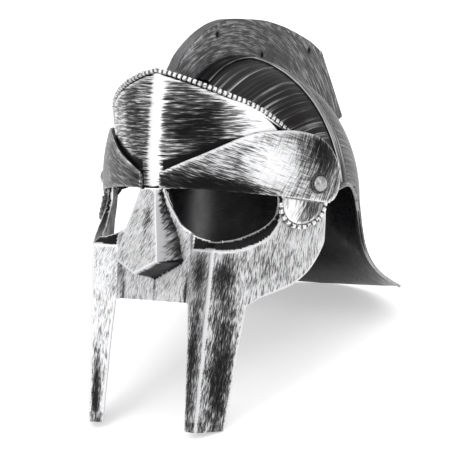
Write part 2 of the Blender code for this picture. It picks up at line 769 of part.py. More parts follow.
def make_comb(group, guides):
    """Hollow comb with a flange that lies on the dome and three small plume holes."""
    top = flowing([comb_point(*row) for row in COMB_OUTLINE], 9 * MM)
    tip = (COMB_TAIL, COMB_TIP_HEIGHT)
    base = comb_base()
    outline = top + [tip] + base[::-1]
    bm = plate_in_mid_plane("comb", outline, COMB_THICKNESS / 2, group)
    weight = bm.edges.layers.float.new("bevel_weight_edge")
    rounded = top + [tip] + base[:1]
    for edge in bm.edges:
        near = [min(math.dist(v.co.yz, p) for p in rounded) < 0.01 * MM for v in edge.verts]
        if all(near) and edge.calc_face_angle(0.0) > math.radians(60):
            edge[weight] = 1.0
    comb = add_object("comb", bm, group, "blackened")
    bevel = comb.modifiers.new("rounded", "BEVEL")
    bevel.width = COMB_EDGE
    bevel.segments = 2
    bevel.limit_method = "WEIGHT"
    add_boolean(comb, make_comb_flange(guides), "UNION")
    add_boolean(comb, make_comb_hollow(top, tip, guides), "DIFFERENCE")
    for index, (along, height) in enumerate(PLUME_HOLES):
        y, z = comb_point(along, height)
        add_boolean(comb, make_plume_hole(index, y, z, guides), "DIFFERENCE")
    smooth(comb)
    return comb


def make_comb_flange(guides):
    """Guide: thin strip under the comb, bent to the dome."""
    line = dome_line(0.0)
    front, back = line[0][0] + FLANGE_FRONT_INSET, line[-1][0] - FLANGE_BACK_INSET
    grow = DOME_GAP + COMB_FLANGE_THICKNESS
    rows = []
    for y in np.linspace(front, back, 19):
        rows.append([(x, y, dome_height(x, y, grow))
                     for x in np.linspace(-COMB_FLANGE_HALF, COMB_FLANGE_HALF, 5)])
    flange = add_object("flange_guide", grid_surface(rows), guides)
    add_solidify(flange, COMB_FLANGE_THICKNESS)
    return as_cutter(flange)


def make_comb_hollow(top, tip, guides):
    """Guide: the space inside the comb, open toward the dome."""
    run = [np.array(p) for p in top + [tip]]
    inner = []
    for before, here, after in zip([run[0]] + run[:-1], run, run[1:] + [run[-1]]):
        ahead = after - before
        normal = np.array([ahead[1], -ahead[0]]) / np.linalg.norm(ahead)
        inner.append(tuple(here + normal * WALL))
    lowered = dome_line(-HOLLOW_SINK)
    back = lowered[-1][0] - HOLLOW_BACK_INSET
    floor = [point for point in lowered if point[0] < back]
    lip = (back, dome_height(0.0, back, 0.0) + HOLLOW_LIP)
    inner = [p for p in inner[2:] if p[1] > dome_height(0.0, p[0]) + HOLLOW_DEPTH_MIN]
    outline = inner + [lip] + floor[::-1]
    hollow = add_object("comb_hollow_guide",
                        plate_in_mid_plane("comb_hollow", outline, COMB_THICKNESS / 2 - WALL,
                                           guides), guides)
    return as_cutter(hollow)


def make_plume_hole(index, y, z, guides):
    """Guide: one small oval hole across the comb."""
    bm = bmesh.new()
    bmesh.ops.create_cone(bm, cap_ends=True, segments=12, radius1=0.5, radius2=0.5, depth=1.0)
    for vert in bm.verts:
        vert.co = (vert.co.z * 3 * COMB_THICKNESS, y + vert.co.x * PLUME_HOLE_WIDTH,
                   z + vert.co.y * PLUME_HOLE_HEIGHT)
    bmesh.ops.reverse_faces(bm, faces=bm.faces)
    bmesh.ops.recalc_face_normals(bm, faces=bm.faces)
    return as_cutter(add_object("plume_hole_guide_%d" % index, bm, guides))


def brow_edge(rows):
    """Brow outline rows as real lengths."""
    return [(along * BROW_LENGTH, BROW_LOW + height * BROW_SPAN) for along, height in rows]


def forehead_edge_height(along):
    """Height of the trim's centre line at a distance along the forehead plate."""
    table = np.array(FOREHEAD_EDGE)
    brow_height = BROW_LOW + BROW_SPAN
    share = np.interp(along / FOREHEAD_GIRTH, table[:, 0], table[:, 1])
    return brow_height + share * (FOREHEAD_TOP - brow_height)


def forehead_point(along, z):
    """Point of the forehead plate's outer face."""
    point = forehead_plan(z).at(along)
    return Vector((point[0], point[1], z))


def return_point(edge):
    """Where the forehead plate's top returns to the dome, beside a point of its edge."""
    z = edge.z - RETURN_FALL
    grow = WALL + 2 * FIT
    scale = math.sqrt(1.0 - (z / (DOME_HEIGHT + grow)) ** 2)
    share = math.hypot(edge.x / ((DOME_HALF_WIDTH + grow) * scale),
                       (edge.y - DOME_SHIFT) / ((DOME_HALF_LENGTH + grow) * scale))
    return Vector((edge.x / share, DOME_SHIFT + (edge.y - DOME_SHIFT) / share, z))


def forehead_columns():
    """Distances along the forehead plate where it has a column of points."""
    neck = BROW_TOP[0][0] * BROW_LENGTH
    return [0.0, 0.83 * neck, neck] + list(np.linspace(neck, FOREHEAD_GIRTH, 14)[1:])


def make_forehead_plate(group):
    """Plate over the forehead whose top edge returns to the dome."""
    brow_top = np.array(brow_edge(BROW_TOP))
    columns = []
    for along in forehead_columns():
        top = forehead_edge_height(along) - BEAD_RADIUS - 2 * FIT
        if along < 0.95 * BROW_TOP[0][0] * BROW_LENGTH:
            low = BROW_LOW + BROW_BOTTOM[-1][1] * BROW_SPAN
        else:
            tuck = np.interp(along / BROW_LENGTH, FOREHEAD_TUCKS[::2], FOREHEAD_TUCKS[1::2])
            low = np.interp(along, brow_top[:8, 0], brow_top[:8, 1]) - tuck
        column = [forehead_point(along, z) for z in np.linspace(low, top, 5)]
        inner = return_point(column[-1])
        column += [column[-1].lerp(inner, share) for share in (0.5, 1.0)]
        columns.append(column)
    rows = list(zip(*columns))
    plate = add_object("forehead_plate", grid_surface(rows), group, "brushed")
    add_mirror(plate)
    add_solidify(plate, WALL)
    smooth(plate, 40)
    return plate


def make_forehead_trim(group):
    """Beaded bar along the forehead plate's upper edge, from temple to temple."""
    half = []
    for along in np.linspace(0.0, FOREHEAD_GIRTH, 60):
        z = forehead_edge_height(along)
        half.append(Vector((*forehead_point(along, z - BEAD_RADIUS - FIT).xy, z)))
    full = [Vector((-p.x, p.y, p.z)) for p in half[:0:-1]] + half
    return beaded_bar("forehead_trim", full, BEAD_RADIUS, BEAD_PITCH, group, "bright")


def make_brow_plate(name, side, group, guides):
    """Brow plate from the nose to behind the temple, its upper rim turned in."""
    top = flowing(brow_edge(BROW_TOP), 6 * MM)
    bottom = flowing(brow_edge(BROW_BOTTOM), 8 * MM)
    outline = top + bottom
    verts, faces = sheet_from_outline(outline, 9 * MM)
    bm = formed_sheet(verts, faces, brow_form)
    turn_in_rim(bm, {i for i in range(len(top))}, verts)
    if side < 0:
        mirrored_x(bm)
    plate = add_object(name, bm, group, "brushed")
    add_solidify(plate, BROW_WALL)
    add_boolean(plate, make_rivet_hole(name, side, guides), "DIFFERENCE")
    smooth(plate)
    return plate


def turn_in_rim(bm, rim, flat):
    """Extrude the upper edge of a brow plate inward; flat holds the sheet's own points."""
    bm.verts.ensure_lookup_table()
    edges = [e for e in bm.edges if e.is_boundary
             and e.verts[0].index in rim and e.verts[1].index in rim]
    source = {tuple(bm.verts[i].co): flat[i] for i in rim}
    made = bmesh.ops.extrude_edge_only(bm, edges=edges)["geom"]
    for vert in [g for g in made if isinstance(g, bmesh.types.BMVert)]:
        along, height = source[tuple(vert.co)]
        normal = plan_normal(BROW_PLAN, along)
        limit = np.interp(along / BROW_LENGTH, RIM_EASE, [RIM_LIMIT, BROW_RIM])
        depth = min(forehead_gap(along, height) - RIM_GAP, limit)
        vert.co -= Vector((normal[0], normal[1], 0.0)) * depth


def mask_edge(rows):
    """Mask outline rows as real lengths: along the girth, and height."""
    return [(along * MASK_GIRTH, -drop * LIP_DROP) for along, drop in rows]


def prong_edge(rows):
    """Prong edge rows as real lengths."""
    return [(along * MASK_GIRTH, -LIP_DROP - down * (PRONG_DROP - LIP_DROP))
            for along, down in rows]


def mask_normal(along, z):
    """Outward direction of the mask's base face, level."""
    reach = 2.0 * MM
    low, high = max(along - reach, 0.0), along + reach
    if along <= MASK_CREASE < high:
        high = MASK_CREASE
        low = min(low, high - reach)
    elif low < MASK_CREASE < along:
        low = MASK_CREASE
    ahead = mask_form(high, z) - mask_form(low, z)
    return Vector((-ahead.y, ahead.x, 0.0)).normalized() * -1.0


class MaskSheet:
    """Lines of half the mask on its flat sheet, and the relief pressed into it."""

    def __init__(self, step):
        self.rim = flowing(mask_edge(EYE_RIM), step)
        self.hole = self.rim + flowing(mask_edge(EYE_TOP), 2 * step)
        self.ledge = flowing(mask_edge(LEDGE), step)
        self.crease = straight(mask_edge(NOSE_CREASE), step)
        self.foot = straight(mask_edge(NOSE_FOOT), step)
        self.brow_line = -NOSE_CREASE[0][1] * LIP_DROP
        outer = mask_edge([(0.0, NOSE_CREASE[0][1]), NOSE_CREASE[0], NOSE_FOOT[0]])
        outer += flowing(mask_edge(MASK_TOP), 2 * step)
        outer += flowing(mask_edge(CHEEK_EDGE), step)
        outer += flowing(prong_edge(PRONG_OUTER), 2 * step)
        outer += flowing(prong_edge(PRONG_INNER), 2 * step)
        lip = [(STEP_INNER * MASK_GIRTH, -LIP_DROP), (0.0, -LIP_DROP)]
        outer += straight(lip, 1.5 * step)
        chin = NOSE_FOOT[-1][1]
        centre = [(0.0, -LIP_DROP), (0.0, -chin * LIP_DROP),
                  (0.0, -NOSE_CREASE[-1][1] * LIP_DROP), (0.0, self.brow_line)]
        outer += straight(centre, 1.5 * step)[1:-1]
        self.outline = outer
        self.step_line = straight([(STEP_INNER * MASK_GIRTH, -0.43 * LIP_DROP),
                                   (STEP_INNER * MASK_GIRTH, -LIP_DROP)], 2 * step)[:-1]
        self.prong_line = straight([(STEP_OUTER * MASK_GIRTH, -LEDGE[0][1] * LIP_DROP),
                                    (STEP_OUTER * MASK_GIRTH, -0.99 * LIP_DROP)], 2 * step)
        self.main_crease = straight([(MASK_CREASE, -LEDGE[2][1] * LIP_DROP),
                                     (MASK_CREASE, -PRONG_DROP)], 2 * step)

    def nose_area(self, run):
        """Closed outline of a nose line with the mid plane."""
        return run + [(-1 * MM, run[-1][1]), (-1 * MM, run[0][1] + 1 * MM),
                      (run[0][0], run[0][1] + 1 * MM)]

    def form(self, along, z):
        """Point of the pressed mask."""
        base = mask_form(along, z)
        spot = (along, z)
        nose_y = (mask_form(0.0, self.brow_line).y - NOSE_PROUD
                  - NOSE_SLOPE * (self.brow_line - z))
        to_crease = distance_to_path(spot, self.crease)
        if to_crease < 1e-6 or inside_outline(spot, self.nose_area(self.crease)):
            return Vector((base.x, nose_y, z))
        to_foot = distance_to_path(spot, self.foot)
        if to_foot > 1e-6 and inside_outline(spot, self.nose_area(self.foot)):
            share = to_foot / (to_foot + to_crease)
            return Vector((base.x, base.y + (nose_y - base.y) * share, z))
        to_rim = distance_to_path(spot, self.rim)
        ring = self.ledge + self.rim[::-1]
        if to_rim < 1e-6 or inside_outline(spot, ring):
            to_ledge = distance_to_path(spot, self.ledge)
            share = to_ledge / (to_ledge + to_rim)
            depth = np.interp(along / MASK_GIRTH, EYE_RECESS_ALONG, EYE_RECESS_SHARE)
            return base - mask_normal(along, z) * (EYE_RECESS * depth * share)
        return base


def make_face_mask(group, guides):
    """Mask with eye openings, nose guard, lip plate, cheeks and two prongs."""
    sheet = MaskSheet(6 * MM)
    creases = [sheet.ledge, sheet.crease, sheet.foot, sheet.step_line, sheet.prong_line,
               sheet.main_crease]
    verts, faces = sheet_from_outline(sheet.outline, 10 * MM, creases, sheet.hole)
    bm = formed_sheet(verts, faces, sheet.form)
    for vert in bm.verts:
        if abs(vert.co.x) < 0.01 * MM:
            vert.co.x = 0.0
    mask = add_object("face_mask", bm, group, "brushed")
    add_mirror(mask)
    add_solidify(mask, WALL)
    for side in (-1, 1):
        add_boolean(mask, make_rivet_hole("face_mask", side, guides), "DIFFERENCE")
    smooth(mask, 30)
    return mask


def rivet_frame(side):
    """Seat of a rivet on the brow plate, and its outward direction."""
    along = RIVET_ALONG * BROW_LENGTH
    seat = brow_form(along, RIVET_HEIGHT)
    normal = plan_normal(BROW_PLAN, along, 6 * MM)
    return (Vector((side * seat.x, seat.y, seat.z)),
            Vector((side * normal[0], normal[1], 0.0)))


def aimed(obj, place, direction):
    """Put an object's origin at a place with its Z axis along a direction."""
    obj.location = place
    obj.rotation_mode = "QUATERNION"
    obj.rotation_quaternion = direction.to_track_quat("Z", "Y")
    return obj


def make_rivet_hole(name, side, guides):
    """Guide: the hole that a rivet's shank passes through."""
    bm = bmesh.new()
    radius = RIVET_SHANK_RADIUS + FIT
    bmesh.ops.create_cone(bm, cap_ends=True, segments=16, radius1=radius, radius2=radius,
                          depth=60 * MM)
    label = "left" if side > 0 else "right"
    hole = add_object("%s_rivet_hole_%s" % (name, label), bm, guides)
    return as_cutter(aimed(hole, *rivet_frame(side)))


def rivet_reach():
    """Distance from the brow plate's outer face to the inside of the skull shell."""
    seat, normal = rivet_frame(1)
    depth = 0.0
    while True:
        point = seat - normal * depth
        level = (point.x / (DOME_HALF_WIDTH - WALL)) ** 2
        level += ((point.y - DOME_SHIFT) / (DOME_HALF_LENGTH - WALL)) ** 2
        level += (point.z / (DOME_HEIGHT - WALL)) ** 2
        if level < 1.0:
            return depth
        depth += 0.1 * MM


def make_rivet(side, group):
    """Domed rivet through the brow plate, the mask and the skull shell."""
    label = "left" if side > 0 else "right"
    lift = RIVET_LIFT
    reach = rivet_reach() + RIVET_FOOT_GAP
    profile = []
    for turn in np.linspace(0.0, math.pi / 2, 6):
        profile.append((RIVET_HEAD_RADIUS * math.sin(turn),
                        lift + RIVET_WASHER_THICKNESS + RIVET_HEAD_HEIGHT * math.cos(turn)))
    profile += [(RIVET_WASHER_RADIUS - RIVET_WASHER_THICKNESS / 2,
                 lift + RIVET_WASHER_THICKNESS),
                (RIVET_WASHER_RADIUS, lift + RIVET_WASHER_THICKNESS / 2),
                (RIVET_WASHER_RADIUS, lift), (RIVET_SHANK_RADIUS, lift),
                (RIVET_SHANK_RADIUS, -reach), (2 * RIVET_SHANK_RADIUS, -reach),
                (2 * RIVET_SHANK_RADIUS, -reach - RIVET_FOOT), (0.0, -reach - RIVET_FOOT)]
    bm = bmesh.new()
    made = [bm.verts.new((x, 0.0, z)) for x, z in profile[::-1]]
    for a, b in zip(made[:-1], made[1:]):
        bm.edges.new((a, b))
    rivet = add_object("rivet_" + label, bm, group, "brushed")
    turned = rivet.modifiers.new("turned", "SCREW")
    turned.steps = 16
    turned.render_steps = 16
    turned.use_merge_vertices = True
    turned.merge_threshold = 0.00001
    turned.use_normal_calculate = True
    smooth(rivet)
    return aimed(rivet, *rivet_frame(side))


def boss_outline(shrink, step):
    """Lower half of the temple boss on the mask's sheet, closed under the brow plate."""
    brow_bottom = np.array(brow_edge(BROW_BOTTOM))[::-1]
    centre = (BOSS_ALONG * MASK_GIRTH, BOSS_HEIGHT)
    half_length = BOSS_HALF_LENGTH - shrink
    half_height = BOSS_HALF_HEIGHT - shrink
    arc = []
    count = max(8, int(math.pi * half_height / step))
    for turn in np.linspace(math.pi, 2 * math.pi, count):
        arc.append((centre[0] + half_length * math.cos(turn),
                    centre[1] + half_height * math.sin(turn)))
    left = np.interp(arc[0][0], brow_bottom[:, 0], brow_bottom[:, 1]) - BOSS_TUCK
    right = np.interp(arc[-1][0], brow_bottom[:, 0], brow_bottom[:, 1]) - BOSS_TUCK
    arc[-1] = (arc[-1][0], right)
    chord = straight([arc[-1], (arc[0][0], left)], 2 * step)
    return chord[-1:] + arc + chord[1:-1]


def outward_form(lift):
    """Mask face raised outward by a lift."""
    def form(along, z):
        return mask_form(along, z) + mask_normal(along, z) * lift
    return form


def make_temple_boss(side, group):
    """Half-round boss on the cheek under the brow plate."""
    label = "left" if side > 0 else "right"
    outline = boss_outline(2 * BOSS_RIM_RADIUS + 2 * FIT, 5 * MM)
    verts, faces = sheet_from_outline(outline, 6 * MM)
    bm = formed_sheet(verts, faces, outward_form(3 * FIT + BOSS_PLATE))
    if side < 0:
        mirrored_x(bm)
    boss = add_object("temple_boss_" + label, bm, group, "brushed")
    add_solidify(boss, BOSS_PLATE)
    smooth(boss)
    return boss


def make_boss_rim(side, group):
    """Beaded rim round the temple boss."""
    label = "left" if side > 0 else "right"
    form = outward_form(FIT + BOSS_RIM_RADIUS)
    arc = boss_outline(BOSS_RIM_RADIUS, 2 * MM)
    path = [form(*p) for p in arc[:1 + arc.index(max(arc))]]
    path[0] = path[1].lerp(path[0], 0.6)
    if side < 0:
        path = [Vector((-p.x, p.y, p.z)) for p in path]
    return beaded_bar("boss_rim_" + label, path, BOSS_RIM_RADIUS, BOSS_BEAD_PITCH, group,
                      "bright")


def rest_on_floor(stance, group):
    """Lean the helmet back until its prongs and neck guard stand on one level floor."""
    bpy.context.view_layer.update()
    depsgraph = bpy.context.evaluated_depsgraph_get()
    points = []
    for obj in group.objects:
        shape = obj.evaluated_get(depsgraph)
        mesh = shape.to_mesh()
        if mesh:
            points += [shape.matrix_world @ v.co for v in mesh.vertices]
            shape.to_mesh_clear()
    contacts = floor_contacts([(p.y, p.z) for p in points])
    (front_y, front_z), (back_y, back_z) = contacts
    tilt = -math.atan2(back_z - front_z, back_y - front_y)
    stance.rotation_euler = (tilt, 0.0, 0.0)
    bpy.context.view_layer.update()
    turned = [stance.matrix_world @ p for p in points]
    low = min(p.z for p in turned)
    middle = (min(p.y for p in turned) + max(p.y for p in turned)) / 2
    stance.location = (0.0, -middle, -low)


def floor_contacts(profile):
    """The edge of a side profile's lower hull that spans the middle of the helmet."""
    hull = []
    for point in sorted(set(profile)):
        while len(hull) > 1 and turn_of(hull[-2], hull[-1], point) <= 0:
            hull.pop()
        hull.append(point)
    for a, b in zip(hull[:-1], hull[1:]):
        if a[0] <= 0.0 < b[0]:
            return a, b
    return hull[0], hull[-1]


def turn_of(a, b, c):
    """Positive where the run a, b, c turns left."""
    return (b[0] - a[0]) * (c[1] - a[1]) - (b[1] - a[1]) * (c[0] - a[0])


def main():
    """Build the helmet."""
    clear_scene()
    group = collection_named("gladiator_helmet")
    guides = collection_named("guides")
    make_skull_shell(group, guides)
    make_comb(group, guides)
    make_forehead_plate(group)
    make_forehead_trim(group)
    for side, label in ((1, "left"), (-1, "right")):
        make_brow_plate("brow_" + label, side, group, guides)
        make_temple_boss(side, group)
        make_boss_rim(side, group)
        make_rivet(side, group)
    shell = bpy.data.objects["skull_shell"]
    for side in (-1, 1):
        add_boolean(shell, make_rivet_hole("skull_shell", side, guides), "DIFFERENCE")
    make_face_mask(group, guides)
    stance = bpy.data.objects.new("stance", None)
    guides.objects.link(stance)
    for obj in list(group.objects) + list(guides.objects):
        if obj is not stance:
            obj.parent = stance
    rest_on_floor(stance, group)


main()
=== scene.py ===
"""Dressed gladiator helmet: black plastic with a dry-brushed silver coat, on a pale floor.

Sizes are millimetres in the helmet's upright frame (face along -Y, wearer's left +X) until a
piece is built; its points then take the helmet's stance, which rests on prongs and neck guard.
"""

import logging
import math
from dataclasses import dataclass
from enum import Enum
from typing import Sequence

import bmesh
import bpy
import numpy as np
from mathutils import Matrix, Vector
from mathutils.geometry import delaunay_2d_cdt

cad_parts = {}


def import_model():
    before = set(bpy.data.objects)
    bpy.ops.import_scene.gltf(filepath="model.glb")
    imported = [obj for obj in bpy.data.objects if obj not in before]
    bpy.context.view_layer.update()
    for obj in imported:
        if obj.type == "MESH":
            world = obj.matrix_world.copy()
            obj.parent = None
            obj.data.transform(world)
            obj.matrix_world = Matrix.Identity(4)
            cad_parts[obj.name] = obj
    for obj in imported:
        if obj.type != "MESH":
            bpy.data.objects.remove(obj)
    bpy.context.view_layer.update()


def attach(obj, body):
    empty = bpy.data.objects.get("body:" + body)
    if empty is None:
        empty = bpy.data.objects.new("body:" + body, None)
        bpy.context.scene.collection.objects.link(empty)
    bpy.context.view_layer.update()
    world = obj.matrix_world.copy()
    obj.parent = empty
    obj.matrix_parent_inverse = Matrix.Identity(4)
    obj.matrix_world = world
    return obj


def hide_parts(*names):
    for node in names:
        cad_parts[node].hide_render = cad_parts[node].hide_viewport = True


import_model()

LOG = logging.getLogger("gladiator_helmet")
MM = 0.001
CM = 0.1

Point2 = tuple[float, float]
Values = dict[str, np.ndarray]


class Side(Enum):
    """The wearer's sides."""

    LEFT = 1
    RIGHT = -1

    @property
    def word(self) -> str:
        """Name of the side."""
        return self.name.lower()


class Brush(Enum):
    """Ways that the silver was brushed on, as the angle of the strokes on the pattern."""

    LEVEL = 0.0
    FALLING = -0.30
    RISING = 1.05
    STEEP = 1.48
    CROSSWISE = math.pi / 2


@dataclass(frozen=True)
class Stance:
    """How the helmet stands: leaned back until prongs and neck guard touch the floor."""

    lean: float = math.radians(-17.104)
    setback: float = -20.51
    rise: float = 132.477

    def turned(self, direction: Vector) -> Vector:
        """Direction after the lean."""
        return Matrix.Rotation(self.lean, 3, "X") @ direction

    def place(self, point: Sequence[float]) -> Vector:
        """Point in metres where it stands, from millimetres in the upright frame."""
        moved = self.turned(Vector(point)) + Vector((0.0, self.setback, self.rise))
        return moved * MM


STANCE = Stance()


# ---- Flat patterns ----


def flowing(points: Sequence[Point2], step: float) -> list[Point2]:
    """Smooth run of points through the given ones.

    Args:
        points: Points that the run passes through.
        step: Distance between the new points.

    Returns:
        The denser run, first and last point included.
    """
    p = np.asarray(points, float)
    q = np.vstack([2 * p[0] - p[1], p, 2 * p[-1] - p[-2]])
    path = []
    for i in range(1, len(q) - 2):
        count = max(1, int(round(np.linalg.norm(q[i + 1] - q[i]) / step)))
        for k in range(count):
            t = k / count
            path.append(0.5 * (2 * q[i] + (q[i + 1] - q[i - 1]) * t
                               + (2 * q[i - 1] - 5 * q[i] + 4 * q[i + 1] - q[i + 2]) * t ** 2
                               + (3 * q[i] - q[i - 1] - 3 * q[i + 1] + q[i + 2]) * t ** 3))
    path.append(q[-2])
    return [tuple(float(c) for c in point) for point in path]


def straight(points: Sequence[Point2], step: float) -> list[Point2]:
    """Run of points along straight lines between the given ones.

    Args:
        points: Corners of the run.
        step: Distance between the new points.

    Returns:
        The denser run, first and last point included.
    """
    path = []
    for a, b in zip(points[:-1], points[1:]):
        a, b = np.asarray(a, float), np.asarray(b, float)
        count = max(1, int(round(np.linalg.norm(b - a) / step)))
        path += [tuple(a + (b - a) * k / count) for k in range(count)]
    path.append(tuple(points[-1]))
    return [tuple(float(c) for c in point) for point in path]


def inside(spots: np.ndarray, ring: Sequence[Point2]) -> np.ndarray:
    """Which spots lie inside a closed ring.

    Args:
        spots: Points, one a row.
        ring: Corners of the ring in order.

    Returns:
        One truth value a spot.
    """
    a = np.asarray(ring, float)
    b = np.roll(a, -1, axis=0)
    x, y = spots[:, :1], spots[:, 1:]
    crosses = (a[:, 1] > y) != (b[:, 1] > y)
    rise = np.where(b[:, 1] == a[:, 1], 1.0, b[:, 1] - a[:, 1])
    at = (b[:, 0] - a[:, 0]) * (y - a[:, 1]) / rise + a[:, 0]
    return (crosses & (x < at)).sum(1) % 2 == 1


def distance(spots: np.ndarray, runs: Sequence[Sequence[Point2]]) -> np.ndarray:
    """Distance from each spot to the nearest of some runs of points.

    Args:
        spots: Points, one a row.
        runs: Open runs of points.

    Returns:
        One distance a spot.
    """
    best = np.full(len(spots), 1e9)
    for run in runs:
        p = np.asarray(run, float)
        a, d = p[:-1], p[1:] - p[:-1]
        for low in range(0, len(spots), 2000):
            s = spots[low:low + 2000, None, :]
            t = ((s - a) * d).sum(2) / np.maximum((d * d).sum(1), 1e-12)
            t = np.clip(t, 0.0, 1.0)[..., None]
            gap = np.linalg.norm(a + d * t - s, axis=2).min(1)
            best[low:low + 2000] = np.minimum(best[low:low + 2000], gap)
    return best


def closed(ring: Sequence[Point2]) -> list[Point2]:
    """Ring with its first point repeated at the end."""
    return list(ring) + [ring[0]]


def cut_sheet(outline: Sequence[Point2], spacing: float,
              creases: Sequence[Sequence[Point2]] = (),
              holes: Sequence[Sequence[Point2]] = ()) -> tuple[np.ndarray, list]:
    """Triangulate a flat sheet.

    Args:
        outline: Closed outer ring.
        spacing: Distance between the inner points.
        creases: Open lines kept as edges.
        holes: Closed inner rings.

    Returns:
        The points, one a row, and the faces.
    """
    points: list[Point2] = []
    edges: list[tuple[int, int]] = []
    for ring in (outline, *holes):
        first = len(points)
        points += list(ring)
        edges += [(first + i, first + (i + 1) % len(ring)) for i in range(len(ring))]
    for line in creases:
        first = len(points)
        points += list(line)
        edges += [(i, i + 1) for i in range(first, len(points) - 1)]
    low, high = np.min(points, 0), np.max(points, 0)
    spots = []
    for row, y in enumerate(np.arange(low[1] + spacing / 2, high[1], spacing * 0.866)):
        start = low[0] + (0.25 + 0.5 * (row % 2)) * spacing
        spots += [(x, y) for x in np.arange(start, high[0], spacing)]
    spots = np.array(spots)
    runs = [closed(outline)] + [closed(hole) for hole in holes] + [list(c) for c in creases]
    keep = inside(spots, outline) & (distance(spots, runs) > 0.6 * spacing)
    points += [tuple(s) for s in spots[keep]]
    verts, _, faces, *_ = delaunay_2d_cdt([Vector(p) for p in points], edges, [], 0, 1e-6)
    flat = np.array([tuple(v) for v in verts])
    middles = np.array([flat[list(face)].mean(0) for face in faces])
    good = inside(middles, outline)
    for hole in holes:
        good &= ~inside(middles, hole)
    return flat, [tuple(face) for face, ok in zip(faces, good) if ok]


def ease(t: float) -> float:
    """Smooth step from 0 to 1."""
    t = min(max(t, 0.0), 1.0)
    return t * t * (3 - 2 * t)


def ease_all(t: np.ndarray) -> np.ndarray:
    """Smooth step from 0 to 1 for each value."""
    t = np.clip(t, 0.0, 1.0)
    return t * t * (3 - 2 * t)


def fade(gap: np.ndarray, reach: float) -> np.ndarray:
    """Value that is 1 at a line and dies away from it."""
    return np.exp(-gap / reach)


def hill(values: np.ndarray, middle: float, reach: float) -> np.ndarray:
    """1 at a middle value, falling away on both sides of it."""
    return np.exp(-((values - middle) / reach) ** 2)


def before(values: np.ndarray, mark: float, reach: float) -> np.ndarray:
    """1 below a mark and 0 above it, going over smoothly."""
    return 1.0 / (1.0 + np.exp((values - mark) / reach))


def past(values: np.ndarray, mark: float, reach: float) -> np.ndarray:
    """0 below a mark and 1 above it, going over smoothly."""
    return before(-values, -mark, reach)


# ---- Forms that the pieces are pressed over ----


class Run:
    """A run of points read by the distance along it."""

    def __init__(self, points: Sequence) -> None:
        """Measure the run.

        Args:
            points: Points in the plane or in space.
        """
        self.points = np.asarray([tuple(p) for p in points], float)
        steps = np.linalg.norm(np.diff(self.points, axis=0), axis=1)
        self.along = np.concatenate([[0.0], np.cumsum(steps)])
        self.length = float(self.along[-1])

    def at(self, gone: float) -> np.ndarray:
        """Point at a distance along the run."""
        return np.array([np.interp(gone, self.along, column) for column in self.points.T])

    def normal(self, gone: float, reach: float = 2.0) -> np.ndarray:
        """Outward direction of a plan curve at a distance along it."""
        ahead = self.at(gone + reach) - self.at(max(gone - reach, 0.0))
        across = np.array([ahead[1], -ahead[0]])
        return across / np.linalg.norm(across)


def superellipse(half_width: float, front: float, roundness: float,
                 tail: float = 0.0) -> Run:
    """Plan curve from the front round to the side.

    Args:
        half_width: Reach to the side.
        front: Reach to the front.
        roundness: Exponent of the curve; 2 is an ellipse.
        tail: Straight run behind the side.

    Returns:
        The plan curve, from the mid plane.
    """
    turn = np.linspace(0.0, math.pi / 2, 240)
    points = np.stack([half_width * np.sin(turn) ** (2 / roundness),
                       -front * np.cos(turn) ** (2 / roundness)], 1)
    points[0, 0] = 0.0
    points[-1] = (half_width, 0.0)
    if tail:
        points = np.vstack([points, (half_width, tail)])
    return Run(points)


@dataclass(frozen=True)
class DomeForm:
    """Ellipsoid of the skull shell."""

    half_width: float = 100.5
    half_length: float = 122.0
    height: float = 118.5
    shift: float = 15.0
    pattern_depth: float = 94.0
    pattern_scale: float = 110.0

    def point(self, angle: float, z: float, grow: float = 0.0) -> Vector:
        """Point of the dome at a plan angle and height."""
        scale = math.sqrt(max(1.0 - (z / (self.height + grow)) ** 2, 0.0)) if z > 0 else 1.0
        return Vector(((self.half_width + grow) * scale * math.cos(angle),
                       self.shift + (self.half_length + grow) * scale * math.sin(angle), z))

    def height_at(self, x: float, y: float, grow: float = 0.0) -> float:
        """Height of the dome over a plan point."""
        room = 1.0 - (x / (self.half_width + grow)) ** 2
        room -= ((y - self.shift) / (self.half_length + grow)) ** 2
        return (self.height + grow) * math.sqrt(max(room, 0.0))

    def pattern(self, point: Vector) -> Point2:
        """Place of a point on the pattern, whose strokes run parallel to the comb."""
        deep = point.z + self.pattern_depth
        return (self.pattern_scale * math.atan2(point.y - self.shift, math.hypot(point.x, deep)),
                self.pattern_scale * math.atan2(point.x, deep))


@dataclass(frozen=True)
class BrowForm:
    """Plan of the brow plates and how it leans in with height."""

    half_width: float = 107.0
    front: float = 116.0
    roundness: float = 1.6
    tuck_start: float = 20.0
    tuck_reach: float = 163.0
    length: float = 171.0
    low: float = 1.8
    span: float = 58.4

    def plan(self, inset: float = 0.0, tail: float = 40.0) -> Run:
        """Plan curve, inset inward."""
        return superellipse(self.half_width - inset, self.front - inset, self.roundness, tail)

    def tuck(self, z: float) -> float:
        """How far the plan leans in at a height, as a scale."""
        return 1.0 - (max(z - self.tuck_start, 0.0) / self.tuck_reach) ** 2

    def edge(self, rows: Sequence[Point2]) -> list[Point2]:
        """Outline rows as real lengths."""
        return [(along * self.length, self.low + height * self.span) for along, height in rows]


@dataclass(frozen=True)
class ForeheadForm:
    """Plan of the forehead plate, rounder at its top than at the brows."""

    top: float = 107.5
    top_half_width: float = 84.0
    top_front: float = 104.0
    spread: float = 9.0
    lean: float = 7.5
    girth: float = 112.0
    return_fall: float = 7.0

    def section(self, z: float) -> tuple[float, float, float]:
        """Half width, front and roundness at a height."""
        share = min(max((100.0 - z) / 55.0, 0.0), 1.0)
        return (self.top_half_width + self.spread * share, self.top_front + self.lean * share,
                2.0 - 0.4 * share)

    def plan(self, z: float) -> Run:
        """Plan curve at a height."""
        return superellipse(*self.section(z))


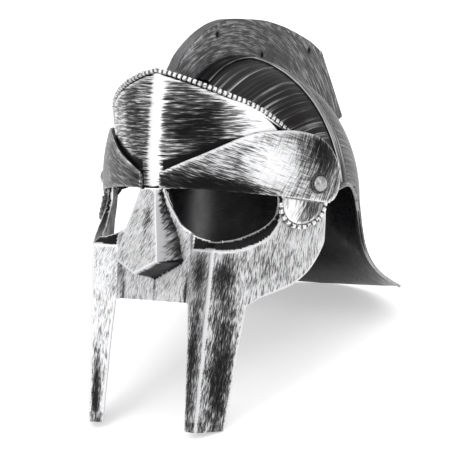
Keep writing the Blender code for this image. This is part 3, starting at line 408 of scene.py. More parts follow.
class MaskForm:
    """Base face of the mask: the brow form above, a flat front with side faces below."""

    crease = 58.0
    girth = 170.0
    crease_half_width = 56.1
    crease_setback = 3.9
    crease_height = -31.0
    prong_lean = 0.111
    prong_converge = 0.048
    lip_recess = 7.5
    step_inner = 0.194
    step_outer = 0.209
    lip_drop = 73.2
    prong_drop = 171.1

    def __init__(self, brow: BrowForm, inset: float = 3.5) -> None:
        """Keep the plans.

        Args:
            brow: Form of the plates in front of the mask.
            inset: How far the mask lies behind them.
        """
        self.brow = brow
        self.upper = brow.plan(inset, 0.0)
        self.sides: dict[float, tuple[float, float, Run]] = {}

    def lower(self, z: float) -> tuple[float, float, Run]:
        """Crease point and side plan below the eyes at a height."""
        key = round(z, 3)
        if key not in self.sides:
            x = self.crease_half_width + self.prong_converge * (z - self.crease_height)
            y = -(self.brow.front - self.crease_setback)
            y += self.prong_lean * (z - self.crease_height)
            pull = np.array((0.82 * self.brow.half_width, 0.6 * y - 0.02 * self.brow.front))
            end = np.array((self.brow.half_width - 1.0, -5.0))
            t = np.linspace(0.0, 1.0, 50)[:, None]
            curve = (1 - t) ** 2 * np.array((x, y)) + 2 * t * (1 - t) * pull + t * t * end
            self.sides[key] = (x, y, Run(curve))
        return self.sides[key]

    def base(self, along: float, z: float) -> Vector:
        """Point of the base face."""
        upper = self.upper.at(along / self.girth * self.upper.length) * self.brow.tuck(z)
        blend = ease((4.0 - z) / 32.0)
        if blend == 0.0:
            return Vector((upper[0], upper[1], z))
        crease_x, crease_y, side = self.lower(z)
        if along <= self.crease:
            steps = [0.0, self.step_inner * self.girth, self.step_outer * self.girth,
                     self.crease]
            recess = np.interp(along, steps, [self.lip_recess, self.lip_recess,
                                              0.6 * self.lip_recess, 0.0])
            lower = np.array([along * crease_x / self.crease, crease_y + recess])
        else:
            lower = side.at((along - self.crease) / (self.girth - self.crease) * side.length)
        point = upper * (1 - blend) + lower * blend
        return Vector((point[0], point[1], z))

    def normal(self, along: float, z: float) -> Vector:
        """Outward direction of the base face, level."""
        low, high = max(along - 2.0, 0.0), along + 2.0
        if along <= self.crease < high:
            high = self.crease
            low = min(low, high - 2.0)
        elif low < self.crease < along:
            low = self.crease
        ahead = self.base(high, z) - self.base(low, z)
        return Vector((ahead.y, -ahead.x, 0.0)).normalized()

    def edge(self, rows: Sequence[Point2]) -> list[Point2]:
        """Outline rows as real lengths; down is positive in the rows."""
        return [(along * self.girth, -drop * self.lip_drop) for along, drop in rows]

    def prong_edge(self, rows: Sequence[Point2]) -> list[Point2]:
        """Prong outline rows as real lengths."""
        reach = self.prong_drop - self.lip_drop
        return [(along * self.girth, -self.lip_drop - down * reach) for along, down in rows]


# ---- Skins: surfaces with the pattern that their finish reads ----


@dataclass
class Skin:
    """Points and faces of one surface, with pattern places and painted values."""

    points: list[Vector]
    faces: list[tuple[int, ...]]
    pattern: list[Point2]
    values: Values

    def mirrored(self, joined: bool = False, tone: np.ndarray | None = None) -> "Skin":
        """The surface on the other side, or both halves as one.

        Args:
            joined: Whether to keep this half and join the two on the mid plane.
            tone: Tone of the other half, where it differs.

        Returns:
            The new surface.
        """
        flip = Vector((-1.0, 1.0, 1.0))
        other = [p * flip for p in self.points]
        pattern = [(-u, v) for u, v in self.pattern]
        if not joined:
            return Skin(other, [f[::-1] for f in self.faces], pattern, dict(self.values))
        on_middle = [abs(p.x) < 0.02 for p in self.points]
        index, extra = {}, []
        for i, middle in enumerate(on_middle):
            if middle:
                self.points[i].x = 0.0
                index[i] = i
            else:
                index[i] = len(self.points) + len(extra)
                extra.append(i)
        faces = self.faces + [tuple(index[i] for i in f[::-1]) for f in self.faces]
        there = dict(self.values, **({} if tone is None else {"tone": tone}))
        values = {k: np.concatenate([v, there[k][extra]]) for k, v in self.values.items()}
        return Skin(self.points + [other[i] for i in extra], faces,
                    list(self.pattern) + [pattern[i] for i in extra], values)


@dataclass(frozen=True)
class Patch:
    """A soft oval on the pattern where the silver coat is thicker or thinner; some stand for
    painted highlights.
    """

    along: float
    height: float
    reach_along: float
    reach_height: float
    change: float
    turn: float = 0.0

    def weigh(self, spots: np.ndarray) -> np.ndarray:
        """Change that the patch brings at each spot of the pattern."""
        turn = math.radians(self.turn)
        x, y = spots[:, 0] - self.along, spots[:, 1] - self.height
        a = (x * math.cos(turn) + y * math.sin(turn)) / self.reach_along
        b = (y * math.cos(turn) - x * math.sin(turn)) / self.reach_height
        return self.change * np.exp(-(a * a + b * b))


def painted(spots: Sequence[Point2], base: float, patches: Sequence[Patch]) -> np.ndarray:
    """Tone at each spot: a base value and the patches over it.

    Args:
        spots: Places on the pattern.
        base: Tone away from every patch.
        patches: Patches that are added.

    Returns:
        One tone a spot.
    """
    places = np.asarray(spots, float)
    return base + sum((patch.weigh(places) for patch in patches), np.zeros(len(places)))


def facing_out(points: Sequence[Vector], faces: list[tuple[int, ...]]) -> list:
    """Faces of a surface, turned away from the middle of the head."""
    middle = Vector((0.0, 15.0, 0.0))
    total = 0.0
    for face in faces:
        a, b, c = (points[i] for i in face[:3])
        total += (b - a).cross(c - a).dot(a - middle)
    return faces if total > 0 else [f[::-1] for f in faces]


def grid_faces(rows: int, columns: int) -> list[tuple[int, ...]]:
    """Quads of a grid whose points are listed row after row."""
    return [(r * columns + c, r * columns + c + 1,
             (r + 1) * columns + c + 1, (r + 1) * columns + c)
            for r in range(rows - 1) for c in range(columns - 1)]


def settle(obj: bpy.types.Object, crease: float) -> None:
    """Apply an object's modifiers and shade it smooth between its creases.

    Args:
        obj: Object to settle.
        crease: Angle in degrees past which an edge stays sharp.
    """
    depsgraph = bpy.context.evaluated_depsgraph_get()
    mesh = bpy.data.meshes.new_from_object(obj.evaluated_get(depsgraph))
    old = obj.data
    obj.modifiers.clear()
    obj.data = mesh
    mesh.name = obj.name
    if isinstance(old, bpy.types.Mesh):
        bpy.data.meshes.remove(old)
    mesh.shade_smooth()
    mesh.set_sharp_from_angle(angle=math.radians(crease))


def build(name: str, skin: Skin, finishes: Sequence[bpy.types.Material], wall: float = 0.0,
          rim: float = 0.0, crease: float = 40.0, rim_angle: float = 55.0) -> bpy.types.Object:
    """Turn a surface into an object that stands in its place.

    Args:
        name: Name of the piece.
        skin: Its outer surface.
        finishes: Outer finish, and the inner one where it differs.
        wall: Thickness that is given inward.
        rim: Radius that rounds the wall's edges.
        crease: Angle past which an edge stays sharp.
        rim_angle: Angle past which an edge is rounded.

    Returns:
        The finished object.
    """
    mesh = bpy.data.meshes.new(name)
    mesh.from_pydata([STANCE.place(p) for p in skin.points], [], skin.faces)
    uv = mesh.uv_layers.new(name="sheet")
    corners = np.empty(len(mesh.loops), int)
    mesh.loops.foreach_get("vertex_index", corners)
    uv.data.foreach_set("uv", (np.asarray(skin.pattern, float)[corners] * CM).ravel())
    for key, values in skin.values.items():
        layer = mesh.attributes.new(key, "FLOAT", "POINT")
        layer.data.foreach_set("value", np.asarray(values, float))
    for finish in finishes:
        mesh.materials.append(finish)
    obj = bpy.data.objects.new(name, mesh)
    bpy.context.scene.collection.objects.link(obj)
    if wall:
        solidify = obj.modifiers.new("wall", "SOLIDIFY")
        solidify.thickness = wall * MM
        solidify.offset = -1.0
        solidify.use_even_offset = False
        solidify.material_offset = len(finishes) - 1
    if rim:
        bevel = obj.modifiers.new("rim", "BEVEL")
        bevel.width = rim * MM
        bevel.segments = 2
        bevel.limit_method = "ANGLE"
        bevel.angle_limit = math.radians(rim_angle)
    settle(obj, crease)
    return obj


# ---- Shader and geometry node trees ----


class Bench:
    """Puts nodes into one tree and joins them."""

    def __init__(self, tree: bpy.types.NodeTree) -> None:
        """Start on a tree.

        Args:
            tree: Tree that the nodes go into.
        """
        self.tree = tree
        self.count = 0

    def add(self, kind: str, inputs: dict | None = None, **settings: object) -> bpy.types.Node:
        """Add a node.

        Args:
            kind: Node type.
            inputs: Values or sockets for its inputs, by name or number.
            settings: Values for its properties.

        Returns:
            The node.
        """
        node = self.tree.nodes.new(kind)
        node.location = (180.0 * (self.count % 12), -220.0 * (self.count // 12))
        self.count += 1
        for key, value in settings.items():
            setattr(node, key, value)
        for key, value in (inputs or {}).items():
            if isinstance(value, bpy.types.NodeSocket):
                self.tree.links.new(value, node.inputs[key])
            else:
                node.inputs[key].default_value = value
        return node

    def math(self, operation: str, a: object, b: object = 0.0) -> bpy.types.NodeSocket:
        """Result of one sum."""
        return self.add("ShaderNodeMath", {0: a, 1: b}, operation=operation).outputs[0]

    def stretched(self, vector: object, scale: object) -> bpy.types.NodeSocket:
        """Vector with each axis scaled."""
        return self.add("ShaderNodeVectorMath", {0: vector, 1: scale},
                        operation="MULTIPLY").outputs[0]

    def noise(self, vector: object, scale: float, detail: float,
              roughness: float = 0.55) -> bpy.types.NodeSocket:
        """Value of a noise texture."""
        node = self.add("ShaderNodeTexNoise", {"Vector": vector, "Scale": scale,
                                               "Detail": detail, "Roughness": roughness})
        return node.outputs[0]

    def stepped(self, value: object, low: object, high: object, first: float = 0.0,
                last: float = 1.0) -> bpy.types.NodeSocket:
        """Value that goes smoothly from one level to another between two marks."""
        node = self.add("ShaderNodeMapRange", {"Value": value, "From Min": low,
                                               "From Max": high, "To Min": first,
                                               "To Max": last},
                        interpolation_type="SMOOTHSTEP")
        return node.outputs[0]

    def painted(self, name: str) -> bpy.types.NodeSocket:
        """Value that was painted on the surface."""
        return self.add("ShaderNodeAttribute", attribute_name=name).outputs["Fac"]


def new_group(name: str, kind: str, inputs: dict[str, tuple[str, object]],
              outputs: dict[str, str]) -> tuple[Bench, bpy.types.Node, bpy.types.Node]:
    """Start a node group.

    Args:
        name: Name of the group.
        kind: Type of its tree.
        inputs: Socket type and default value of each input.
        outputs: Socket type of each output.

    Returns:
        Its bench, input node and output node.
    """
    tree = bpy.data.node_groups.new(name, kind)
    for label, (socket, default) in inputs.items():
        made = tree.interface.new_socket(name=label, in_out="INPUT", socket_type=socket)
        if default is not None:
            made.default_value = default
    for label, socket in outputs.items():
        tree.interface.new_socket(name=label, in_out="OUTPUT", socket_type=socket)
    bench = Bench(tree)
    return bench, bench.add("NodeGroupInput"), bench.add("NodeGroupOutput")


def make_dry_brush() -> bpy.types.NodeTree:
    """Group: cover of a coat of paint that a nearly dry brush left in strokes.

    Returns:
        The group's tree.
    """
    number = "NodeSocketFloat"
    bench, source, sink = new_group(
        "dry_brush", "ShaderNodeTree",
        {"Vector": ("NodeSocketVector", None), "Tone": (number, 0.5), "Angle": (number, 0.0),
         "Along": (number, 1.2), "Across": (number, 14.0), "Patches": (number, 0.6),
         "Softness": (number, 0.34), "Seed": (number, 0.0)},
        {"Cover": number, "Height": number})
    get = source.outputs
    place = bench.add("ShaderNodeCombineXYZ", {0: get["Seed"], 1: get["Seed"], 2: get["Seed"]})
    angle = bench.add("ShaderNodeCombineXYZ", {2: get["Angle"]})
    turned = bench.add("ShaderNodeMapping", {"Vector": get["Vector"],
                                             "Location": place.outputs[0],
                                             "Rotation": angle.outputs[0]}).outputs[0]
    wobble = bench.noise(turned, 0.5, 1.0)
    wobble = bench.add("ShaderNodeCombineXYZ", {1: bench.math("MULTIPLY", wobble, 0.12)})
    turned = bench.add("ShaderNodeVectorMath", {0: turned, 1: wobble.outputs[0]}).outputs[0]

    def strokes(along: float, across: float, detail: float) -> bpy.types.NodeSocket:
        """Stretched noise, wider or finer than the group's own strokes."""
        scale = bench.add("ShaderNodeCombineXYZ", {
            0: bench.math("MULTIPLY", get["Along"], along),
            1: bench.math("MULTIPLY", get["Across"], across), 2: 1.0})
        return bench.noise(bench.stretched(turned, scale.outputs[0]), 1.0, detail, 0.6)

    fine, medium, hair = strokes(1.0, 1.0, 2.0), strokes(0.55, 0.38, 2.0), strokes(0.4, 1.5, 1.0)
    broad = bench.add("ShaderNodeTexNoise", {"Vector": turned, "Scale": get["Patches"],
                                             "Detail": 3.0}).outputs[0]
    total = bench.math("MULTIPLY", get["Tone"], 1.0)
    for value, weight in ((fine, 1.5), (medium, 1.3), (broad, 0.5)):
        centred = bench.math("SUBTRACT", value, 0.5)
        total = bench.math("ADD", total, bench.math("MULTIPLY", centred, weight))
    low = bench.math("SUBTRACT", 0.5, get["Softness"])
    high = bench.math("ADD", 0.5, get["Softness"])
    cover = bench.stepped(total, low, high)
    hairs = bench.stepped(hair, 0.58, 0.72)
    hairs = bench.math("MULTIPLY", hairs, bench.stepped(get["Tone"], -0.1, 0.7, 0.05, 0.8))
    both = bench.math("MAXIMUM", cover, hairs)
    bench.tree.links.new(both, sink.inputs["Cover"])
    bench.tree.links.new(bench.math("ADD", both, bench.math("MULTIPLY", fine, 0.5)),
                         sink.inputs["Height"])
    return bench.tree


def make_scuffs() -> bpy.types.NodeTree:
    """Group: faint scuffs and cloudiness of moulded plastic.

    Returns:
        The group's tree.
    """
    number = "NodeSocketFloat"
    bench, source, sink = new_group(
        "scuffs", "ShaderNodeTree",
        {"Vector": ("NodeSocketVector", None), "Scale": (number, 1.0)},
        {"Cloud": number, "Scratch": number})
    get = source.outputs
    cloud = bench.add("ShaderNodeTexNoise", {"Vector": get["Vector"], "Scale": get["Scale"],
                                             "Detail": 4.0}).outputs[0]
    drawn = bench.stretched(get["Vector"], (1.0, 1.0, 14.0))
    scratch = bench.add("ShaderNodeTexNoise", {"Vector": drawn, "Scale": get["Scale"],
                                               "Detail": 3.0}).outputs[0]
    bench.tree.links.new(bench.stepped(cloud, 0.3, 0.7), sink.inputs["Cloud"])
    bench.tree.links.new(bench.stepped(scratch, 0.56, 0.66), sink.inputs["Scratch"])
    return bench.tree


def make_bead_row() -> bpy.types.NodeTree:
    """Group: a round bar with square beads set along it.

    Returns:
        The group's tree.
    """
    size = "NodeSocketFloat"
    bench, source, sink = new_group(
        "bead_row", "GeometryNodeTree",
        {"Geometry": ("NodeSocketGeometry", None), "Pitch": (size, 0.004),
         "Bead length": (size, 0.003), "Bead width": (size, 0.0035),
         "Bar radius": (size, 0.0015), "Bead finish": ("NodeSocketMaterial", None),
         "Bar finish": ("NodeSocketMaterial", None)},
        {"Geometry": "NodeSocketGeometry"})
    get = source.outputs
    curve = bench.add("GeometryNodeMeshToCurve", {0: get["Geometry"]}).outputs[0]
    spots = bench.add("GeometryNodeResampleCurve", {"Curve": curve, "Length": get["Pitch"]},
                      mode="LENGTH").outputs[0]
    extent = bench.add("ShaderNodeCombineXYZ", {0: get["Bead length"], 1: get["Bead width"],
                                                2: get["Bead width"]}).outputs[0]
    cube = bench.add("GeometryNodeMeshCube", {"Size": extent}).outputs[0]
    bead = bench.add("GeometryNodeSubdivisionSurface",
                     {"Mesh": cube, "Level": 2, "Edge Crease": 0.5}).outputs[0]
    outward = bench.add("GeometryNodeInputNamedAttribute", {"Name": "outward"},
                        data_type="FLOAT_VECTOR").outputs[0]
    tangent = bench.add("GeometryNodeInputTangent").outputs[0]
    upright = bench.add("FunctionNodeAlignRotationToVector", {"Vector": outward},
                        axis="Z").outputs[0]
    turned = bench.add("FunctionNodeAlignRotationToVector",
                       {"Rotation": upright, "Vector": tangent}, axis="X",
                       pivot_axis="Z").outputs[0]
    beads = bench.add("GeometryNodeInstanceOnPoints",
                      {"Points": spots, "Instance": bead, "Rotation": turned}).outputs[0]
    ring = bench.add("GeometryNodeCurvePrimitiveCircle",
                     {"Resolution": 10, "Radius": get["Bar radius"]}).outputs[0]
    bar = bench.add("GeometryNodeCurveToMesh", {"Curve": curve, "Profile Curve": ring,
                                                "Fill Caps": True}).outputs[0]
    marked = bench.add("GeometryNodeStoreNamedAttribute",
                       {"Geometry": bar, "Name": "on_bar", "Value": True},
                       data_type="BOOLEAN", domain="FACE").outputs[0]
    joined = bench.add("GeometryNodeJoinGeometry")
    bench.tree.links.new(marked, joined.inputs[0])
    bench.tree.links.new(beads, joined.inputs[0])
    real = bench.add("GeometryNodeRealizeInstances", {"Geometry": joined.outputs[0]}).outputs[0]
    silvered = bench.add("GeometryNodeSetMaterial", {"Geometry": real,
                                                     "Material": get["Bead finish"]}).outputs[0]
    on_bar = bench.add("GeometryNodeInputNamedAttribute", {"Name": "on_bar"},
                       data_type="BOOLEAN").outputs[0]
    dressed = bench.add("GeometryNodeSetMaterial",
                        {"Geometry": silvered, "Selection": on_bar,
                         "Material": get["Bar finish"]}).outputs[0]
    bench.tree.links.new(dressed, sink.inputs["Geometry"])
    return bench.tree


class Workshop:
    """Node groups that the finishes and pieces share, built once."""

    def __init__(self) -> None:
        """Build the groups."""
        self.dry_brush = make_dry_brush()
        self.scuffs = make_scuffs()
        self.bead_row = make_bead_row()


# ---- Finishes ----


def start_material(name: str) -> tuple[bpy.types.Material, Bench, bpy.types.Node]:
    """Start a node material.

    Args:
        name: Name of the material.

    Returns:
        The material, its bench and its Principled shader.
    """
    material = bpy.data.materials.new(name)
    material.use_nodes = True
    return (material, Bench(material.node_tree),
            material.node_tree.nodes["Principled BSDF"])


@dataclass(frozen=True)
class BrushedSilver:
    """Black plastic with silver brushed over it in two directions."""

    name: str
    angle: Brush = Brush.LEVEL
    cross_angle: Brush = Brush.RISING
    along: float = 1.1
    across: float = 15.0
    patches: float = 0.55
    softness: float = 0.34
    seed: float = 0.0
    silver: tuple[float, float, float] = (0.86, 0.86, 0.87)
    black: tuple[float, float, float] = (0.005, 0.005, 0.0055)
    cross_along: float = 0.0
    cross_across: float = 0.0
    cross_softness: float = 0.0
    on_object: bool = False

    def make(self, shop: Workshop) -> bpy.types.Material:
        """Build the material.

        Args:
            shop: Holder of the shared groups.

        Returns:
            The material.
        """
        material, bench, shader = start_material(self.name)
        if self.on_object:
            object_place = bench.add("ShaderNodeTexCoord").outputs["Object"]
            vector = bench.stretched(object_place, (100.0, 100.0, 100.0))
        else:
            vector = bench.add("ShaderNodeUVMap", uv_map="sheet").outputs[0]
        wear, soil_and_shade = bench.painted("wear"), bench.painted("soil_and_shade")
        tone = bench.painted("tone")
        ragged = bench.stepped(bench.noise(vector, 3.0, 3.0), 0.25, 0.6, 0.8, 1.0)
        # wear and painted highlights lighten the tone; soil and painted shade darken it
        tone = bench.math("ADD", tone, bench.math("MULTIPLY", wear, ragged))
        tone = bench.math("SUBTRACT", tone, bench.math("MULTIPLY", soil_and_shade, 1.2))
        covers, heights = [], []
        for index, angle in enumerate((self.angle, self.cross_angle)):
            group = bench.add("ShaderNodeGroup", node_tree=shop.dry_brush)
            for label, value in (("Vector", vector), ("Tone", tone)):
                bench.tree.links.new(value, group.inputs[label])
            along = self.cross_along if index and self.cross_along else self.along
            across = self.cross_across if index and self.cross_across else self.across
            soft = self.cross_softness if index and self.cross_softness else self.softness
            for label, value in (("Angle", -angle.value), ("Along", along),
                                 ("Across", across), ("Patches", self.patches),
                                 ("Softness", soft),
                                 ("Seed", self.seed + 7.3 * index)):
                group.inputs[label].default_value = value
            covers.append(group.outputs["Cover"])
            heights.append(group.outputs["Height"])
        cross = bench.painted("cross")
        mixed = []
        for first, second in (covers, heights):
            mix = bench.add("ShaderNodeMix", {"Factor": cross, "A": first, "B": second},
                            data_type="FLOAT")
            mixed.append(mix.outputs[0])
        cover, height = mixed
        ramp = bench.add("ShaderNodeValToRGB", {"Fac": cover})
        stops = [(0.0, self.black), (0.42, tuple(0.13 * s for s in self.silver)),
                 (0.75, tuple(0.50 * s for s in self.silver)), (1.0, self.silver)]
        ramp.color_ramp.elements[0].color = (*stops[0][1], 1.0)
        ramp.color_ramp.elements[1].color = (*stops[3][1], 1.0)
        for at, colour in stops[1:3]:
            ramp.color_ramp.elements.new(at).color = (*colour, 1.0)
        bump = bench.add("ShaderNodeBump", {"Strength": 0.25, "Distance": 0.0003,
                                            "Height": height})
        links = bench.tree.links
        links.new(ramp.outputs[0], shader.inputs["Base Color"])
        links.new(bench.stepped(cover, 0.0, 1.0, 0.30, 0.44), shader.inputs["Roughness"])
        links.new(bench.stepped(cover, 0.1, 0.9, 0.0, 0.72), shader.inputs["Metallic"])
        links.new(bump.outputs[0], shader.inputs["Normal"])
        shader.inputs["Specular IOR Level"].default_value = 0.10
        return material


@dataclass(frozen=True)
class BarePlastic:
    """Glossy black plastic of the inner faces, lightened by a painted reflection where one is
    set.
    """

    name: str
    colour: tuple[float, float, float] = (0.005, 0.005, 0.006)
    scuffed: tuple[float, float, float] = (0.016, 0.016, 0.017)
    painted_sheen_colour: tuple[float, float, float] = (0.50, 0.50, 0.51)

    def make(self, shop: Workshop) -> bpy.types.Material:
        """Build the material.

        Args:
            shop: Holder of the shared groups.

        Returns:
            The material.
        """
        material, bench, shader = start_material(self.name)
        vector = bench.stretched(bench.add("ShaderNodeTexCoord").outputs["Object"],
                                 (100.0, 100.0, 100.0))
        group = bench.add("ShaderNodeGroup", node_tree=shop.scuffs)
        bench.tree.links.new(vector, group.inputs["Vector"])
        group.inputs["Scale"].default_value = 0.8
        mix = bench.add("ShaderNodeMix", {"Factor": group.outputs["Scratch"]},
                        data_type="RGBA")
        mix.inputs[6].default_value = (*self.colour, 1.0)
        mix.inputs[7].default_value = (*self.scuffed, 1.0)
        # painted reflection: a lighter colour mixed in where the sheen value is set
        painted_sheen = bench.math("MULTIPLY", bench.painted("painted_sheen"),
                           bench.stepped(group.outputs["Cloud"], 0.0, 1.0, 0.8, 1.0))
        mix = bench.add("ShaderNodeMix", {"Factor": painted_sheen, 6: mix.outputs[2]}, data_type="RGBA")
        mix.inputs[7].default_value = (*self.painted_sheen_colour, 1.0)
        bump = bench.add("ShaderNodeBump", {"Strength": 0.2, "Distance": 0.0004,
                                            "Height": group.outputs["Cloud"]})
        links = bench.tree.links
        links.new(mix.outputs[2], shader.inputs["Base Color"])
        links.new(bench.stepped(group.outputs["Cloud"], 0.0, 1.0, 0.22, 0.36),
                  shader.inputs["Roughness"])
        links.new(bump.outputs[0], shader.inputs["Normal"])
        shader.inputs["Specular IOR Level"].default_value = 0.12
        return material


@dataclass(frozen=True)
class RubbedMetal:
    """Silver rubbed over a raised part, left dark where the brush missed."""

    name: str
    silver: tuple[float, float, float] = (0.80, 0.80, 0.81)
    dark: tuple[float, float, float] = (0.05, 0.05, 0.055)
    missed: float = 0.42
    scale: float = 4.0
    roughness: float = 0.36

    def make(self, shop: Workshop) -> bpy.types.Material:
        """Build the material.

        Args:
            shop: Holder of the shared groups. Not used.

        Returns:
            The material.
        """
        material, bench, shader = start_material(self.name)
        vector = bench.stretched(bench.add("ShaderNodeTexCoord").outputs["Object"],
                                 (100.0, 100.0, 100.0))
        value = bench.noise(vector, self.scale, 3.0)
        cover = bench.stepped(value, self.missed - 0.08, self.missed + 0.08)
        mix = bench.add("ShaderNodeMix", {"Factor": cover}, data_type="RGBA")
        mix.inputs[6].default_value = (*self.dark, 1.0)
        mix.inputs[7].default_value = (*self.silver, 1.0)
        bump = bench.add("ShaderNodeBump", {"Strength": 0.3, "Distance": 0.0003,
                                            "Height": value})
        links = bench.tree.links
        links.new(mix.outputs[2], shader.inputs["Base Color"])
        links.new(bench.stepped(cover, 0.0, 1.0, 0.5, self.roughness),
                  shader.inputs["Roughness"])
        links.new(bench.stepped(cover, 0.0, 1.0, 0.1, 0.65), shader.inputs["Metallic"])
        links.new(bump.outputs[0], shader.inputs["Normal"])
        return material


# ---- Sub-assemblies ----

SHELL_EDGE = (
    # plan angle in degrees, lower edge as a share of the neck drop or (below 0) the arch rise
    (-90.0, -3.90), (-74.0, -3.90), (-60.0, -3.90), (-49.0, -3.90), (-41.0, -3.45),
    (-34.0, -2.70), (-28.0, -2.15), (-24.0, -1.70), (-21.0, -1.00), (-16.0, -0.55),
    (-8.0, -0.55), (0.0, -0.85), (7.0, -1.00), (13.0, -0.85), (17.5, -0.35), (20.5, 0.03),
    (22.5, 0.12), (24.5, 0.30), (26.5, 0.52), (29.5, 0.68), (33.0, 0.80), (36.0, 0.893),
    (42.0, 0.903), (50.0, 0.925), (60.0, 0.955), (75.0, 0.985), (90.0, 1.00),
)


@dataclass
class SkullShell:
    """Thin dome with ear arches, a rolled moulding over them and a flared neck guard."""

    shop: Workshop
    dome: DomeForm
    wall: float = 2.0
    neck_drop: float = 84.0
    neck_flare: float = 36.0
    arch_rise: float = 13.0
    corner_drop: float = 0.893
    roll_height: float = 1.0
    roll_inset: float = 3.2
    panel_back: float = 14.0
    panel_fade: float = 1.2
    near_rows: tuple[float, ...] = (0.0, 0.5, 1.0, 1.6, 2.2, 2.8, 3.4, 4.0, 4.8, 6.0, 8.0)
    far_rows: int = 58

    def column(self, angle: float, drop: float) -> Run:
        """Points up one plan angle, from the lower edge to the crown.

        Args:
            angle: Plan angle in radians.
            drop: Height of the lower edge, as in the edge table.

        Returns:
            The run of points.
        """
        low = -drop * self.neck_drop if drop > 0 else -drop * self.arch_rise
        reach = max(drop, self.corner_drop) * self.neck_drop
        dome = self.dome
        points = []
        if low < 0:
            normal = Vector((math.cos(angle) / dome.half_width,
                             math.sin(angle) / dome.half_length, 0.0)).normalized()
            for z in np.linspace(low, 0.0, 40)[:-1]:
                depth = -z / reach
                flare = self.neck_flare * (0.2 * depth + 0.8 * depth ** 5)
                points.append(dome.point(angle, 0.0) + normal * flare + Vector((0.0, 0.0, z)))
        lift = math.asin(max(low, 0.0) / dome.height)
        for turn in np.linspace(lift, math.pi / 2, 80):
            points.append(dome.point(angle, dome.height * math.sin(turn)))
        return Run(points)

    def skin(self) -> Skin:
        """Outer surface with its pattern.

        Returns:
            The surface of both halves.
        """
        table = [(angle, drop * 30.0) for angle, drop in SHELL_EDGE]
        table = flowing(table, 1.6)
        columns = [(angle, self.column(math.radians(angle), drop / 30.0))
                   for angle, drop in table]
        points, gaps, arches = [], [], []
        near = list(self.near_rows)
        for step in near:
            points += [column.at(step) for _, column in columns]
            gaps += [step] * len(columns)
            arches += [angle for angle, _ in columns]
        for share in np.linspace(0.0, 1.0, self.far_rows + 1)[1:-1]:
            for angle, column in columns:
                gone = near[-1] + share * (column.length - near[-1])
                points.append(column.at(gone))
                gaps.append(gone)
                arches.append(angle)
        width = len(columns)
        rows = len(points) // width
        faces = grid_faces(rows, width)
        crown = len(points)
        points.append(np.array((0.0, self.dome.shift, self.dome.height)))
        gaps.append(200.0)
        arches.append(90.0)
        faces += [(crown - width + c, crown - width + c + 1, crown) for c in range(width - 1)]
        spots = [Vector(p) for p in points]
        for row in range(rows):
            spots[row * width].x = 0.0
            spots[row * width + width - 1].x = 0.0
        self.raise_roll(spots, np.array(gaps), np.array(arches))
        pattern = [self.dome.pattern(p) for p in spots]
        gaps = np.array(gaps)
        places = np.array([tuple(p) for p in spots])
        tone = self.tone(places)
        wear = 0.7 * fade(gaps, 0.9)
        panel = self.in_panel(places)
        values = {"tone": tone, "wear": wear, "soil_and_shade": np.zeros(len(spots)), "cross": panel,
                  "painted_sheen": self.painted_sheen(places)}
        return Skin(spots, facing_out(spots, faces), pattern, values).mirrored(joined=True)

    def in_panel(self, places: np.ndarray) -> np.ndarray:
        """How far each place lies in the front panel, from 0 to 1."""
        return before(places[:, 1], self.panel_back, self.panel_fade)

    def painted_sheen(self, places: np.ndarray) -> np.ndarray:
        """Painted reflection on the inner face: a band up the back quarter, and the guard."""
        turn = np.degrees(np.arctan2(places[:, 1] - self.dome.shift, np.abs(places[:, 0])))
        band = hill(turn, 43.0, 5.0) * past(places[:, 2], -45.0, 6.0)
        low = before(places[:, 2], -66.0, 4.0)
        return 0.42 * band + 0.10 * low

    def raise_roll(self, spots: list[Vector], gaps: np.ndarray, arches: np.ndarray) -> None:
        """Raise the rolled moulding just above the ear arch."""
        for i in np.nonzero(gaps < 9.0)[0]:
            near = ease((arches[i] + 16.0) / 10.0) * ease((34.0 - arches[i]) / 6.0)
            bump = float(hill(gaps[i], self.roll_inset, 1.5))
            side = Vector((spots[i].x, 0.6 * (spots[i].y - self.dome.shift), 0.0)).normalized()
            spots[i] += side * (self.roll_height * near * bump)

    def tone(self, places: np.ndarray) -> np.ndarray:
        """Thickness of the silver coat over the shell."""
        x, y, z = np.abs(places[:, 0]), places[:, 1], places[:, 2]
        tone = np.full(len(places), 0.46)
        front = self.in_panel(places)
        low = hill(z, 62.0, 26.0)
        tone -= (0.25 - 0.13 * low) * front
        hatch = hill(y, -44.0, 11.0) * hill(z, 63.0, 11.0)
        tone += 0.40 * hatch * (x > 40.0)
        return tone

    def dress(self) -> bpy.types.Object:
        """Build the shell in place of its node.

        Returns:
            The finished object.
        """
        outer = BrushedSilver("shell_coat", cross_angle=Brush.LEVEL, along=0.6, across=24.0,
                              patches=0.4, softness=0.6, seed=3.0, silver=(0.38, 0.38, 0.385),
                              black=(0.012, 0.011, 0.0105), cross_along=0.10,
                              cross_across=9.0, cross_softness=0.16).make(self.shop)
        inner = BarePlastic("inner_plastic").make(self.shop)
        shell = build("dressed_skull_shell", self.skin(), (outer, inner), self.wall, 0.5)
        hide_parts("skull_shell")
        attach(shell, "root")
        return shell


